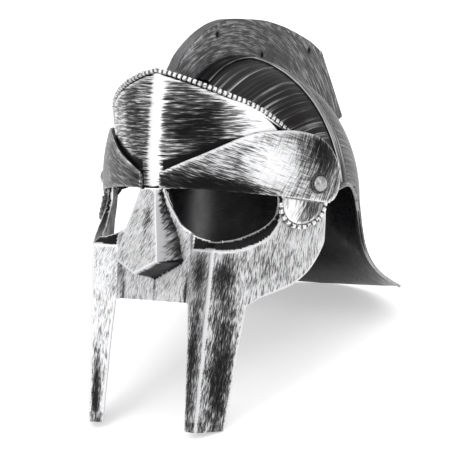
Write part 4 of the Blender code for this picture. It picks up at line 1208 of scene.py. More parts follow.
@dataclass
class Strap:
    """Raised strap across the dome with a ridge along its front edge and a seam behind."""

    shop: Workshop
    dome: DomeForm
    flange_half: float = 17.0
    end_height: float = 17.0
    profile: tuple[Point2, ...] = (
        # place along Y, height above the dome
        (14.9, -0.6), (15.2, 0.4), (15.7, 1.3), (16.4, 1.75), (17.1, 1.3), (17.7, 0.75),
        (19.0, 1.0), (23.0, 1.25), (27.0, 1.2), (28.6, 0.9), (29.1, 0.2), (29.5, 0.2),
        (30.0, 0.8), (30.5, 0.5), (31.0, -0.6))

    def dress(self) -> bpy.types.Object:
        """Build the strap.

        Returns:
            The finished object.
        """
        dome = self.dome
        section = math.sqrt(1.0 - ((23.0 - dome.shift) / dome.half_length) ** 2)
        start = math.asin((self.flange_half + 0.6) / (dome.half_width * section))
        end = math.acos(self.end_height / (dome.height * section))
        turns = np.linspace(start, end, 70)
        points, values = [], {"tone": [], "wear": [], "soil_and_shade": []}
        for turn in turns:
            for y, lift in self.profile:
                scale = math.sqrt(1.0 - ((y - dome.shift) / (dome.half_length + lift)) ** 2)
                points.append(Vector(((dome.half_width + lift) * scale * math.sin(turn), y,
                                      (dome.height + lift) * scale * math.cos(turn))))
                values["tone"].append(0.50)
                # painted highlight along the ridge of the front edge; painted shade in the
                # seam's groove and along the strap's front foot
                values["wear"].append(0.75 if abs(y - 16.4) < 0.5 else 0.0)
                values["soil_and_shade"].append(1.0 if 28.9 < y < 29.7 or y < 15.3 else 0.0)
        faces = facing_out(points, grid_faces(len(turns), len(self.profile)))
        painted_values = {k: np.array(v) for k, v in values.items()}
        painted_values["cross"] = np.zeros(len(points))
        skin = Skin(points, faces, [dome.pattern(p) for p in points], painted_values)
        other = skin.mirrored()
        count = len(points)
        both = Skin(points + other.points,
                    faces + [tuple(i + count for i in f) for f in other.faces],
                    skin.pattern + other.pattern,
                    {k: np.concatenate([v, v]) for k, v in painted_values.items()})
        coat = BrushedSilver("strap_coat", angle=Brush.CROSSWISE, along=0.5, across=12.0,
                             patches=0.5, seed=5.0, silver=(0.50, 0.50, 0.505)).make(self.shop)
        strap = build("dome_strap", both, (coat,), 1.0, crease=55.0)
        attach(strap, "root")
        return strap


COMB_OUTLINE = (
    # along, height above the crown as a share of the rise
    (0.000, -0.430), (0.020, -0.250), (0.043, -0.010), (0.081, 0.249), (0.134, 0.532),
    (0.187, 0.744), (0.241, 0.896), (0.300, 0.985), (0.382, 1.005), (0.498, 0.990),
    (0.597, 0.881), (0.659, 0.773), (0.722, 0.634), (0.787, 0.466), (0.859, 0.196),
)
PLUME_HOLES = ((0.230, 0.572), (0.483, 0.075), (0.774, 0.228))


@dataclass
class Comb:
    """Crest plate on the mid plane with rounded edges, plume holes and a flange."""

    shop: Workshop
    dome: DomeForm
    forehead: ForeheadForm
    thickness: float = 9.0
    rise: float = 32.0
    front: float = 86.0
    tail: float = 203.0
    tip_height: float = 66.0
    tail_share: float = 0.35
    dome_gap: float = 0.8
    base_gap: float = 1.4
    flange_half: float = 17.0
    flange_thickness: float = 1.2
    edge_radius: float = 1.4
    hole_width: float = 4.4
    hole_height: float = 5.0
    bead_radius: float = 2.2
    fit: float = 0.3

    def point(self, along: float, height: float) -> Point2:
        """Point of the outline in the mid plane."""
        return (-self.front + along * (self.tail + self.front),
                self.dome.height + height * self.rise)

    def return_end(self) -> Point2:
        """Where the forehead plate's return stops short of the dome."""
        form = self.forehead
        z = form.top - self.bead_radius - self.fit - form.return_fall
        edge = Vector((0.0, -form.top_front, z + form.return_fall))
        end = return_point(self.dome, form, edge)
        return end.y, end.z

    def dome_line(self, grow: float, step: float = 3.0) -> list[Point2]:
        """Dome's profile under the comb, from front to tail."""
        front = self.return_end()[0] + 1.5
        drop = math.sqrt(1.0 - self.tail_share ** 2)
        tail = self.dome.shift + (self.dome.half_length + grow) * drop
        count = int((tail - front) / step)
        return [(y, self.dome.height_at(0.0, y, grow))
                for y in np.linspace(front, tail, count)]

    def outline(self) -> tuple[list[Point2], list[Point2]]:
        """Upper and lower edge of the comb, both from front to tail."""
        top = flowing([self.point(*row) for row in COMB_OUTLINE], 2.5)
        tip = (self.tail, self.tip_height)
        top += straight([top[-1], tip], 2.5)[1:]
        end_y, end_z = self.return_end()
        slope = self.forehead.return_fall / (self.forehead.top_front + end_y)
        front_z = end_z + slope * (self.front + end_y)
        lift = 2 * self.fit
        base = straight([(-self.front, front_z + lift), (end_y, end_z + lift)], 2.5)
        base += self.dome_line(self.base_gap)
        last = straight([base[-1], tip], 2.5)[1:-1]
        return top, base + last

    def pattern(self, y: float, z: float) -> Point2:
        """Place on the pattern, whose strokes follow the arch."""
        return (115.0 * math.atan2(y - self.dome.shift, z + 20.0),
                math.hypot(y - self.dome.shift, z + 20.0))

    def skin(self) -> Skin:
        """Closed surface of the plate."""
        top, base = self.outline()
        ring = top + base[::-1]
        holes = []
        for along, height in PLUME_HOLES:
            y, z = self.point(along, height)
            turns = np.linspace(0.0, 2 * math.pi, 17)[:-1]
            holes.append([(y + 0.5 * self.hole_width * math.cos(t),
                           z + 0.5 * self.hole_height * math.sin(t)) for t in turns])
        flat, faces = cut_sheet(ring, 3.0, (), holes)
        half = self.thickness / 2
        count = len(flat)
        points = [Vector((half, y, z)) for y, z in flat]
        points += [Vector((-half, y, z)) for y, z in flat]
        faces = [f if turned(flat, f) else f[::-1] for f in faces]
        used: dict[tuple[int, int], int] = {}
        for face in faces:
            for a, b in zip(face, face[1:] + face[:1]):
                used[(a, b)] = used.get((a, b), 0) + 1
        rims = [(a, b) for a, b in used if (b, a) not in used]
        every = list(faces) + [tuple(i + count for i in f[::-1]) for f in faces]
        every += [(b, a, a + count, b + count) for a, b in rims]
        gap = distance(flat, [top])
        hole_gap = distance(flat, [closed(hole) for hole in holes])
        middle = self.point(0.55, 0.55)
        mottled = np.exp(-((flat[:, 0] - middle[0]) / 26.0) ** 2
                         - ((flat[:, 1] - middle[1] + 14.0) / 16.0) ** 2)
        tone = 0.46 - 0.14 * mottled + 0.10 * hill(flat[:, 0], -60.0, 20.0)
        # painted highlight line just inside the top edge; darker round the plume holes
        values = {"tone": tone, "wear": 0.4 * hill(gap, 1.6, 0.9),
                  "soil_and_shade": 0.2 * fade(hole_gap, 0.3), "cross": 0.4 * mottled}
        pattern = [self.pattern(y, z) for y, z in flat]
        return Skin(points, every, pattern + [(-u, v + 300.0) for u, v in pattern],
                    {k: np.concatenate([v, v]) for k, v in values.items()})

    def flange(self) -> Skin:
        """Thin strip under the comb, bent to the dome."""
        line = self.dome_line(0.0)
        grow = self.dome_gap + self.flange_thickness
        ys = np.linspace(line[0][0] + 4.0, line[-1][0] - 8.0, 70)
        xs = np.linspace(-self.flange_half, self.flange_half, 21)
        points = [Vector((x, y, self.dome.height_at(x, y, grow))) for y in ys for x in xs]
        faces = facing_out(points, grid_faces(len(ys), len(xs)))
        edge = np.array([self.flange_half - abs(p.x) for p in points])
        y = np.array([p.y for p in points])
        tone = 0.30 - 0.12 * before(y, 10.0, 3.0)
        # painted shade along the lines where the comb's sides stand on the flange
        values = {"tone": tone, "wear": 0.45 * fade(edge, 0.8),
                  "soil_and_shade": 0.9 * fade(np.abs(self.flange_half - edge - self.thickness / 2), 0.8),
                  "cross": np.zeros(len(points))}
        return Skin(points, faces, [self.dome.pattern(p) for p in points], values)

    def dress(self) -> list[bpy.types.Object]:
        """Build the comb in place of its node.

        Returns:
            The comb and its flange.
        """
        coat = BrushedSilver("comb_coat", along=1.0, across=13.0, patches=0.9, seed=11.0,
                             softness=0.55, silver=(0.42, 0.42, 0.43),
                             black=(0.020, 0.020, 0.021)).make(self.shop)
        comb = build("dressed_comb", self.skin(), (coat,), 0.0, self.edge_radius, 45.0, 60.0)
        base = BrushedSilver("flange_coat", along=0.3, across=9.0, patches=0.35, seed=4.0,
                             silver=(0.42, 0.42, 0.425)).make(self.shop)
        flange = build("comb_flange", self.flange(), (base,), self.flange_thickness, 0.3)
        for piece in (comb, flange):
            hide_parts("comb")
            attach(piece, "root")
        return [comb, flange]


def turned(flat: np.ndarray, face: Sequence[int]) -> bool:
    """Whether a flat face runs anticlockwise."""
    a, b, c = (flat[i] for i in face[:3])
    return (b[0] - a[0]) * (c[1] - a[1]) - (b[1] - a[1]) * (c[0] - a[0]) > 0


def return_point(dome: DomeForm, form: ForeheadForm, edge: Vector, wall: float = 2.0,
                 fit: float = 0.3) -> Vector:
    """Where the forehead plate's top returns to the dome.

    Args:
        dome: Dome that it returns to.
        form: Form of the plate.
        edge: Point of the plate's upper edge.
        wall: Wall of the plate.
        fit: Gap that is kept.

    Returns:
        The point on the dome's side.
    """
    z = edge.z - form.return_fall
    grow = wall + 2 * fit
    scale = math.sqrt(1.0 - (z / (dome.height + grow)) ** 2)
    share = math.hypot(edge.x / ((dome.half_width + grow) * scale),
                       (edge.y - dome.shift) / ((dome.half_length + grow) * scale))
    return Vector((edge.x / share, dome.shift + (edge.y - dome.shift) / share, z))


FOREHEAD_EDGE = (
    # along, height
    (0.000, 1.000), (0.100, 0.979), (0.270, 0.921), (0.400, 0.870), (0.546, 0.812),
    (0.674, 0.762), (0.744, 0.728), (0.824, 0.685), (0.891, 0.640), (0.946, 0.600),
    (1.000, 0.555),
)
BROW_TOP = (
    # along, height
    (0.053, 0.450), (0.149, 0.578), (0.240, 0.685), (0.332, 0.796), (0.429, 0.906),
    (0.532, 0.981), (0.637, 1.000), (0.752, 0.990), (0.871, 0.909), (0.930, 0.791),
    (0.965, 0.650), (0.994, 0.500), (1.000, 0.372), (0.990, 0.215), (0.953, 0.062),
    (0.908, 0.000),
)
BROW_BOTTOM = (
    # along, height
    (0.874, 0.010), (0.725, 0.079), (0.620, 0.122), (0.426, 0.183), (0.242, 0.231),
    (0.053, 0.243),
)


@dataclass
class Forehead:
    """Forehead plate, and the beaded trim along its upper edge."""

    shop: Workshop
    dome: DomeForm
    form: ForeheadForm
    brow: BrowForm
    wall: float = 2.0
    bead_radius: float = 2.2
    bead_pitch: float = 4.1
    fit: float = 0.3
    fillet: float = 1.3
    fillet_reach: float = 9.0
    base_tone: float = 0.46
    patches: tuple[Patch, ...] = (
        # painted highlight down the centre ridge, partly a heavier silver coat there
        Patch(1.6, 60.0, 5.0, 90.0, 0.85),
        Patch(30.0, 66.0, 22.0, 22.0, -0.34),
        Patch(52.0, 48.0, 24.0, 12.0, -0.20, -20.0),
        Patch(92.0, 70.0, 22.0, 11.0, 0.60, -26.0),
        Patch(68.0, 84.0, 26.0, 5.0, 0.35, -22.0),
        # painted highlight on the bright edge above the groove
        Patch(56.0, 48.0, 12.0, 3.0, 0.40, 22.0),
    )
    far_patches: tuple[Patch, ...] = (
        # painted highlight down the centre ridge, partly a heavier silver coat there
        Patch(0.0, 60.0, 3.4, 90.0, 0.85),
        Patch(22.0, 62.0, 12.0, 26.0, -0.12),
        Patch(60.0, 70.0, 22.0, 20.0, 0.12),
    )

    def edge_height(self, along: float) -> float:
        """Height of the trim's centre line."""
        table = np.array(FOREHEAD_EDGE)
        return self.form.top * float(np.interp(along / self.form.girth, table[:, 0],
                                               table[:, 1]))

    def low_edge(self, along: float) -> float:
        """Height of the plate's lower edge, hidden behind the brow plates."""
        if along < 0.05 * self.brow.length:
            return self.brow.low + 0.234 * self.brow.span
        top = np.array(self.brow.edge(BROW_TOP))
        tuck = np.interp(along, [10.0, 25.0], [2.5, 6.0])
        return float(np.interp(along, top[:8, 0], top[:8, 1]) - tuck)

    def skin(self) -> Skin:
        """Outer surface of the plate with its return to the dome."""
        table = flowing([(a, h * 100.0) for a, h in FOREHEAD_EDGE], 2.0)
        shares = np.array([p[0] for p in table])
        heights = np.array([p[1] for p in table]) / 100.0
        alongs = list(np.linspace(0.0, 8.0, 6)) + list(np.linspace(9.06, self.form.girth, 62))
        rows = 34
        points, pattern, top_gap, low_gap = [], [], [], []
        for along in alongs:
            edge = self.form.top * float(np.interp(along / self.form.girth, shares, heights))
            top = edge - 0.7 * self.bead_radius
            low = self.low_edge(along)
            reach = min(ease((along - 12.0) / 25.0), 1.0)
            for z in np.linspace(low, top, rows):
                plan = self.form.plan(z)
                place = plan.at(along)
                rise = (z - low) / self.fillet_reach
                if rise < 1.0:
                    place = place + plan.normal(along) * self.fillet * reach * (1 - rise) ** 2
                points.append(Vector((place[0], place[1], z)))
                pattern.append((along, z))
                top_gap.append(top - z)
                low_gap.append(z - low)
            inner = return_point(self.dome, self.form, points[-1])
            outer = points[-1].copy()
            for share in (0.12, 0.3, 0.6, 1.0):
                point = outer.lerp(inner, share)
                points.append(point)
                pattern.append((along, top + (outer - point).length))
                top_gap.append(-1.0)
                low_gap.append(50.0)
        columns = rows + 4
        faces = facing_out(points, grid_faces(len(alongs), columns))
        gap, low = np.array(top_gap), np.array(low_gap)
        spots = np.asarray(pattern)
        # painted highlight on the flared fillet near the open end, and painted shade in the
        # groove above the brow plates
        open_end = ease_all((spots[:, 0] - 52.0) / 26.0)
        lower = open_end * hill(low, 9.0, 4.0)
        groove_shade = (1.0 - open_end) * hill(low, 7.5, 2.6) * (spots[:, 0] > 9.5)
        tones = []
        for patches in (self.patches, self.far_patches):
            tone = painted(pattern, self.base_tone, patches) + 0.45 * lower
            tone[gap < 0] = 0.1
            tones.append(tone)
        margin = hill(gap, 2.6, 1.2)
        # soil here is painted shade: the thin groove under the trim, the hidden lower edge and
        # the groove above the brows
        soil_and_shade = np.where(gap < 0.6, 0.8, 0.0) + fade(low, 1.2) + 0.9 * groove_shade
        values = {"tone": tones[0], "wear": 0.35 * margin, "soil_and_shade": soil_and_shade,
                  "cross": np.zeros(len(points))}
        return Skin(points, faces, pattern, values).mirrored(True, tones[1])

    def dress_plate(self) -> bpy.types.Object:
        """Build the plate in place of its node.

        Returns:
            The finished object.
        """
        coat = BrushedSilver("forehead_coat", along=0.8, across=15.0, patches=0.5,
                             seed=1.0).make(self.shop)
        inner = BarePlastic("forehead_inner").make(self.shop)
        plate = build("dressed_forehead_plate", self.skin(), (coat, inner), self.wall, 0.4, 50.0)
        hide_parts("forehead_plate")
        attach(plate, "root")
        return plate

    def dress_trim(self) -> bpy.types.Object:
        """Build the beaded trim in place of its node.

        Returns:
            The finished object.
        """
        half, outward = [], []
        for along in np.linspace(0.0, self.form.girth, 90):
            z = self.edge_height(along)
            plan = self.form.plan(z - self.bead_radius - self.fit)
            half.append(Vector((*plan.at(along), z)))
            normal = plan.normal(along) if along > 0 else np.array((0.0, -1.0))
            outward.append(Vector((normal[0], normal[1], 0.35)).normalized())
        flip = Vector((-1.0, 1.0, 1.0))
        path = [p * flip for p in half[:0:-1]] + half
        facing = [p * flip for p in outward[:0:-1]] + outward
        return beaded_piece("dressed_forehead_trim", self.shop, path, facing,
                            BeadSizes(self.bead_pitch, 2.7, 3.5, 1.4), "forehead_trim")


BRIGHT_BEAD, SHADED_BEAD = 0.76, 0.16


@dataclass(frozen=True)
class BeadSizes:
    """Sizes of a beaded bar."""

    pitch: float
    length: float
    width: float
    bar_radius: float


def beaded_piece(name: str, shop: Workshop, path: Sequence[Vector],
                 facing: Sequence[Vector], sizes: BeadSizes, node: str) -> bpy.types.Object:
    """Set beads along a path with the shared geometry nodes.

    Args:
        name: Name of the piece.
        shop: Holder of the shared groups.
        path: Centre line of the bar.
        facing: Outward direction at each point of the path.
        sizes: Sizes of bar and beads.
        node: Node that the piece stands for.

    Returns:
        The finished object.
    """
    mesh = bpy.data.meshes.new(name)
    mesh.from_pydata([STANCE.place(p) for p in path],
                     [(i, i + 1) for i in range(len(path) - 1)], [])
    layer = mesh.attributes.new("outward", "FLOAT_VECTOR", "POINT")
    layer.data.foreach_set("vector", np.array([tuple(STANCE.turned(d)) for d in facing]).ravel())
    obj = bpy.data.objects.new(name, mesh)
    bpy.context.scene.collection.objects.link(obj)
    # painted shade: the far (right) side's beads take a darker copy of the bead silver
    silver = (SHADED_BEAD if node.endswith("right") else BRIGHT_BEAD,) * 3
    bead = RubbedMetal(node + "_beads", missed=0.40, silver=silver).make(shop)
    bar = RubbedMetal(node + "_bar", silver=(0.16, 0.16, 0.165), dark=(0.02, 0.02, 0.022),
                      missed=0.55, scale=3.0).make(shop)
    row = obj.modifiers.new("bead_row", "NODES")
    row.node_group = shop.bead_row
    wanted = {"Pitch": sizes.pitch * MM, "Bead length": sizes.length * MM,
              "Bead width": sizes.width * MM, "Bar radius": sizes.bar_radius * MM,
              "Bead finish": bead, "Bar finish": bar}
    for item in shop.bead_row.interface.items_tree:
        if item.in_out == "INPUT" and item.name in wanted:
            row[item.identifier] = wanted[item.name]
    settle(obj, 60.0)
    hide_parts(node)
    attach(obj, "root")
    return obj


@dataclass
class BrowPlate:
    """Brow plate from the nose to behind the temple, its upper rim turned in."""

    shop: Workshop
    side: Side
    form: BrowForm
    forehead: ForeheadForm
    wall: float = 2.5
    rim_depth: float = 5.6
    rim_limit: float = 9.0
    rim_gap: float = 0.8
    rim_radius: float = 1.3
    base_tone: float = 0.48
    patches: tuple[Patch, ...] = (
        Patch(102.0, 32.0, 25.0, 24.0, 0.46, -30.0),
        Patch(46.0, 16.0, 36.0, 9.0, -0.66, -8.0),
        Patch(84.0, 8.0, 24.0, 8.0, -0.52, -12.0),
        Patch(152.0, 42.0, 16.0, 16.0, -0.40),
        Patch(64.0, 46.0, 16.0, 8.0, 0.12, 20.0),
    )
    far_patches: tuple[Patch, ...] = (
        Patch(12.0, 20.0, 9.0, 18.0, -0.22),
        Patch(50.0, 25.0, 70.0, 70.0, -0.12),
    )

    def rim_reach(self, along: float, z: float) -> float:
        """How deep the turned-in rim goes before it meets the forehead plate.

        Args:
            along: Distance along the brow plate.
            z: Height.

        Returns:
            Depth of the rim.
        """
        half, front, roundness = self.forehead.section(z)
        plan = self.form.plan()
        spot, normal = plan.at(along) * self.form.tuck(z), plan.normal(along)
        limit = float(np.interp(along / self.form.length, [0.5, 0.6],
                                [self.rim_limit, self.rim_depth]))
        depth = 0.0
        while depth < limit + self.rim_gap:
            x, y = np.abs(spot - depth * normal)
            if (x / half) ** roundness + (y / front) ** roundness < 1.0:
                break
            depth += 0.1
        return depth - self.rim_gap

    def skin(self) -> Skin:
        """Outer surface with the rounded, turned-in rim."""
        form = self.form
        plan = form.plan()
        top = np.array(flowing(form.edge(BROW_TOP), 2.5))
        ahead = np.gradient(top, axis=0)
        ahead /= np.linalg.norm(ahead, axis=1)[:, None]
        across = np.stack([-ahead[:, 1], ahead[:, 0]], 1)
        inset = top - across * self.rim_radius
        inset[0] = top[0] + (0.0, -self.rim_radius)
        inset[-1] = top[-1]
        bottom = flowing(form.edge(BROW_BOTTOM), 2.5)
        ring = [tuple(p) for p in inset] + bottom
        flat, faces = cut_sheet(ring, 2.4)

        def press(along: float, z: float, depth: float) -> Vector:
            """Point of the plate, a depth inside its outer face."""
            place = plan.at(along) * form.tuck(z) - depth * plan.normal(along)
            return Vector((place[0], place[1], z))

        points = [press(a, z, 0.0) for a, z in flat]
        pattern = [tuple(p) for p in flat]
        edge_gap = distance(flat, [closed(ring)])
        last = [int(np.argmin(np.linalg.norm(flat - p, axis=1))) for p in inset]
        extra_gap = []
        turns = [math.radians(t) for t in (22.5, 45.0, 67.5, 90.0)] + [None]
        for turn in turns:
            now = []
            for k, edge in enumerate(top):
                if turn is None:
                    drop, depth = 0.0, self.rim_reach(edge[0], edge[1])
                else:
                    drop = self.rim_radius * (1 - math.sin(turn))
                    depth = self.rim_radius * (1 - math.cos(turn))
                spot = edge - across[k] * drop
                now.append(len(points))
                points.append(press(spot[0], spot[1], depth))
                pattern.append((edge[0], edge[1] + depth))
                extra_gap.append(0.0 if turn is not None and turn < 1.3 else 4.0)
            for k in range(len(top) - 1):
                faces.append((last[k], last[k + 1], now[k + 1], now[k]))
            last = now
        sheet = len(flat)
        faces = oriented(points, faces)
        near = self.side is Side.LEFT
        tone = painted(pattern, self.base_tone, self.patches if near else self.far_patches)
        rim_dark = np.concatenate([np.zeros(sheet), np.array(extra_gap) > 1.0])
        tone = np.where(rim_dark > 0, 0.05, tone)
        gap = np.concatenate([edge_gap, extra_gap])
        spots = np.asarray(pattern)
        cross = 0.5 * hill(spots[:, 0], 118.0, 22.0) + 0.9 * past(spots[:, 0], 136.0, 6.0)
        values = {"tone": tone, "wear": 0.36 * fade(gap, 0.6),
                  "soil_and_shade": np.where(rim_dark > 0, 0.5, 0.0), "cross": np.clip(cross, 0.0, 1.0)}
        skin = Skin(points, faces, pattern, values)
        return skin if self.side is Side.LEFT else skin.mirrored()

    def dress(self) -> bpy.types.Object:
        """Build the plate in place of its node.

        Returns:
            The finished object.
        """
        seed, soft = (2.0, 0.34) if self.side is Side.LEFT else (21.0, 0.75)
        coat = BrushedSilver("brow_coat_" + self.side.word, Brush.FALLING, Brush.RISING, 1.0,
                             15.0, 0.5, softness=soft, seed=seed,
                             silver=(0.72, 0.72, 0.73)).make(self.shop)
        inner = BarePlastic("brow_inner_" + self.side.word).make(self.shop)
        plate = build("dressed_brow_" + self.side.word, self.skin(), (coat, inner), self.wall,
                      0.5, 50.0, 60.0)
        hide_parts("brow_" + self.side.word)
        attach(plate, "root")
        return plate


def oriented(points: Sequence[Vector], faces: Sequence[tuple[int, ...]]) -> list:
    """Faces of an open surface, all turned the same way and away from the head.

    Args:
        points: Points of the surface.
        faces: Its faces in any order of corners.

    Returns:
        The turned faces.
    """
    bm = bmesh.new()
    verts = [bm.verts.new(p) for p in points]
    for face in faces:
        bm.faces.new([verts[i] for i in face])
    bm.verts.index_update()
    bmesh.ops.recalc_face_normals(bm, faces=bm.faces)
    result = [tuple(v.index for v in face.verts) for face in bm.faces]
    bm.free()
    return facing_out(points, result)


EYE_RIM = (
    # along, drop
    (0.072, -0.205), (0.077, -0.160), (0.097, -0.055), (0.124, 0.090), (0.140, 0.170),
    (0.180, 0.235), (0.250, 0.312), (0.330, 0.340), (0.400, 0.338), (0.485, 0.314),
    (0.580, 0.232), (0.632, 0.125), (0.645, 0.000), (0.645, -0.150),
)
EYE_TOP = ((0.620, -0.165), (0.424, -0.212), (0.235, -0.246))
LEDGE = (
    # along, drop
    (0.209, 0.436), (0.275, 0.425), (0.341, 0.421), (0.391, 0.438), (0.486, 0.423),
    (0.587, 0.348), (0.632, 0.266), (0.656, 0.142), (0.664, 0.000), (0.664, -0.165),
)
MASK_TOP = (
    # along, drop
    (0.060, -0.328), (0.147, -0.377), (0.241, -0.460), (0.335, -0.545), (0.429, -0.610),
    (0.535, -0.635), (0.641, -0.640), (0.759, -0.640), (0.876, -0.580), (0.925, -0.470),
    (0.940, -0.250),
)
CHEEK_EDGE = (
    # along, drop
    (0.930, -0.060), (0.924, 0.023), (0.931, 0.184), (0.933, 0.378), (0.912, 0.484),
    (0.882, 0.589), (0.848, 0.680), (0.808, 0.755), (0.748, 0.837), (0.675, 0.891),
    (0.584, 0.949),
)
PRONG_OUTER = ((0.519, 0.025), (0.508, 0.206), (0.495, 0.363), (0.474, 0.794), (0.461, 1.000))
PRONG_INNER = ((0.264, 1.000), (0.248, 0.675), (0.234, 0.362), (0.214, 0.010))
NOSE_CREASE = ((0.044, -0.205), (0.120, 0.533), (0.000, 0.676))
NOSE_FOOT = ((0.056, -0.205), (0.150, 0.574), (0.000, 0.765))


@dataclass
class FaceMask:
    """Eye openings, nose guard, lip plate, cheeks and prongs, pressed in one piece."""

    shop: Workshop
    form: MaskForm
    wall: float = 2.0
    spacing: float = 1.5
    eye_recess: float = 8.0
    nose_proud: float = 4.0
    nose_slope: float = 0.332
    tip_band: float = 8.0
    base_tone: float = 0.75
    patches: tuple[Patch, ...] = (
        Patch(72.0, -125.0, 9.0, 62.0, -0.66),
        Patch(46.0, -120.0, 9.0, 50.0, -0.58),
        Patch(46.0, -48.0, 7.0, 13.0, -0.50),
        Patch(68.0, -52.0, 8.0, 18.0, -0.46, -12.0),
        Patch(31.0, -66.0, 1.6, 14.0, -0.60),
        Patch(4.0, -8.0, 4.0, 10.0, -0.36),
        Patch(108.0, -46.0, 20.0, 22.0, -0.16, 30.0),
    )
    far_patches: tuple[Patch, ...] = (
        Patch(52.0, -148.0, 3.6, 26.0, -0.85),
        Patch(55.0, -90.0, 12.0, 50.0, 0.08),
        Patch(31.0, -66.0, 1.6, 14.0, -0.40),
    )

    def __post_init__(self) -> None:
        """Lay out the lines of the flat sheet."""
        form, step = self.form, self.spacing
        self.rim = flowing(form.edge(EYE_RIM), step)
        self.hole = self.rim + flowing(form.edge(EYE_TOP), step)
        self.ledge = flowing(form.edge(LEDGE), step)
        self.crease = straight(form.edge(NOSE_CREASE), step)
        self.foot = straight(form.edge(NOSE_FOOT), step)
        self.brow_line = -NOSE_CREASE[0][1] * form.lip_drop
        outer = form.edge([(0.0, NOSE_CREASE[0][1]), NOSE_CREASE[0], NOSE_FOOT[0]])
        outer += flowing(form.edge(MASK_TOP), 2 * step)
        outer += flowing(form.edge(CHEEK_EDGE), step)
        outer += flowing(form.prong_edge(PRONG_OUTER), step)
        tip = [form.prong_edge(PRONG_OUTER)[-1], form.prong_edge(PRONG_INNER)[0]]
        outer += straight(tip, step)[1:-1]
        outer += flowing(form.prong_edge(PRONG_INNER), step)
        outer += straight([(form.step_inner * form.girth, -form.lip_drop),
                           (0.0, -form.lip_drop)], step)
        centre = [(0.0, -form.lip_drop), (0.0, -NOSE_FOOT[-1][1] * form.lip_drop),
                  (0.0, -NOSE_CREASE[-1][1] * form.lip_drop), (0.0, self.brow_line)]
        outer += straight(centre, step)[1:-1]
        self.outline = outer
        self.step_line = straight([(form.step_inner * form.girth, -0.43 * form.lip_drop),
                                   (form.step_inner * form.girth, -form.lip_drop)], step)[:-1]
        self.prong_line = straight([(form.step_outer * form.girth,
                                     -LEDGE[0][1] * form.lip_drop),
                                    (form.step_outer * form.girth, -0.99 * form.lip_drop)],
                                   step)
        self.main_crease = straight([(form.crease, -LEDGE[2][1] * form.lip_drop),
                                     (form.crease, -form.prong_drop)], step)

    def nose_area(self, run: list[Point2]) -> list[Point2]:
        """Closed outline of a nose line with the mid plane."""
        return run + [(-1.0, run[-1][1]), (-1.0, run[0][1] + 1.0),
                      (run[0][0], run[0][1] + 1.0)]

    def press(self, flat: np.ndarray) -> list[Vector]:
        """Points of the pressed mask.

        Args:
            flat: Points of the flat sheet.

        Returns:
            Their places on the mask.
        """
        form = self.form
        top_y = form.base(0.0, self.brow_line).y - self.nose_proud
        to_crease = distance(flat, [self.crease])
        to_foot = distance(flat, [self.foot])
        to_rim = distance(flat, [self.rim])
        to_ledge = distance(flat, [self.ledge])
        on_nose = inside(flat, self.nose_area(self.crease)) | (to_crease < 1e-3)
        on_flank = inside(flat, self.nose_area(self.foot)) & (to_foot > 1e-3)
        on_slope = inside(flat, self.ledge + self.rim[::-1]) | (to_rim < 1e-3)
        points = []
        for i, (along, z) in enumerate(flat):
            base = form.base(along, z)
            nose_y = top_y - self.nose_slope * (self.brow_line - z)
            if on_nose[i]:
                base.y = nose_y
            elif on_flank[i]:
                share = to_foot[i] / (to_foot[i] + to_crease[i])
                base.y += (nose_y - base.y) * share
            elif on_slope[i]:
                share = to_ledge[i] / (to_ledge[i] + to_rim[i])
                depth = np.interp(along / form.girth, [0.2, 0.3, 0.55, 0.66],
                                  [0.0, 1.0, 1.0, 0.6])
                inward = (form.normal(along - 8.0, z) + form.normal(along + 8.0, z)).normalized()
                base -= inward * float(self.eye_recess * depth * share)
            points.append(base)
        return points

    def skin(self) -> Skin:
        """Outer surface of both halves with its pattern."""
        creases = [self.ledge, self.crease, self.foot, self.step_line, self.prong_line,
                   self.main_crease]
        flat, faces = cut_sheet(self.outline, self.spacing, creases, [self.hole])
        points = self.press(flat)
        faces = facing_out(points, faces)
        used = {i for face in faces for i in face}
        keep = sorted(used)
        index = {old: new for new, old in enumerate(keep)}
        faces = [tuple(index[i] for i in face) for face in faces]
        points = [points[i] for i in keep]
        flat = flat[keep]
        form = self.form
        on_slope = inside(flat, self.ledge + self.rim[::-1])
        on_slope &= distance(flat, [self.ledge, self.rim]) > 0.3
        on_flank = inside(flat, self.nose_area(self.foot))
        on_flank &= ~inside(flat, self.nose_area(self.crease))
        on_flank &= distance(flat, [self.crease]) > 0.3
        tones = []
        for patches in (self.patches, self.far_patches):
            tone = painted(flat, self.base_tone, patches)
            tone = np.where(on_slope & (flat[:, 0] > 0.22 * form.girth), -0.15, tone)
            flank = -0.42 + 0.36 * ease_all((8.0 - flat[:, 1]) / 34.0)
            tone = np.where(on_flank & (flat[:, 0] > 3.0), tone + flank, tone)
            under_nose = on_flank & (flat[:, 1] < -0.55 * form.lip_drop)
            tone = np.where(under_nose, -0.05, tone)
            tips = flat[:, 1] < -form.prong_drop + self.tip_band
            tones.append(np.where(tips, 0.45, tone))
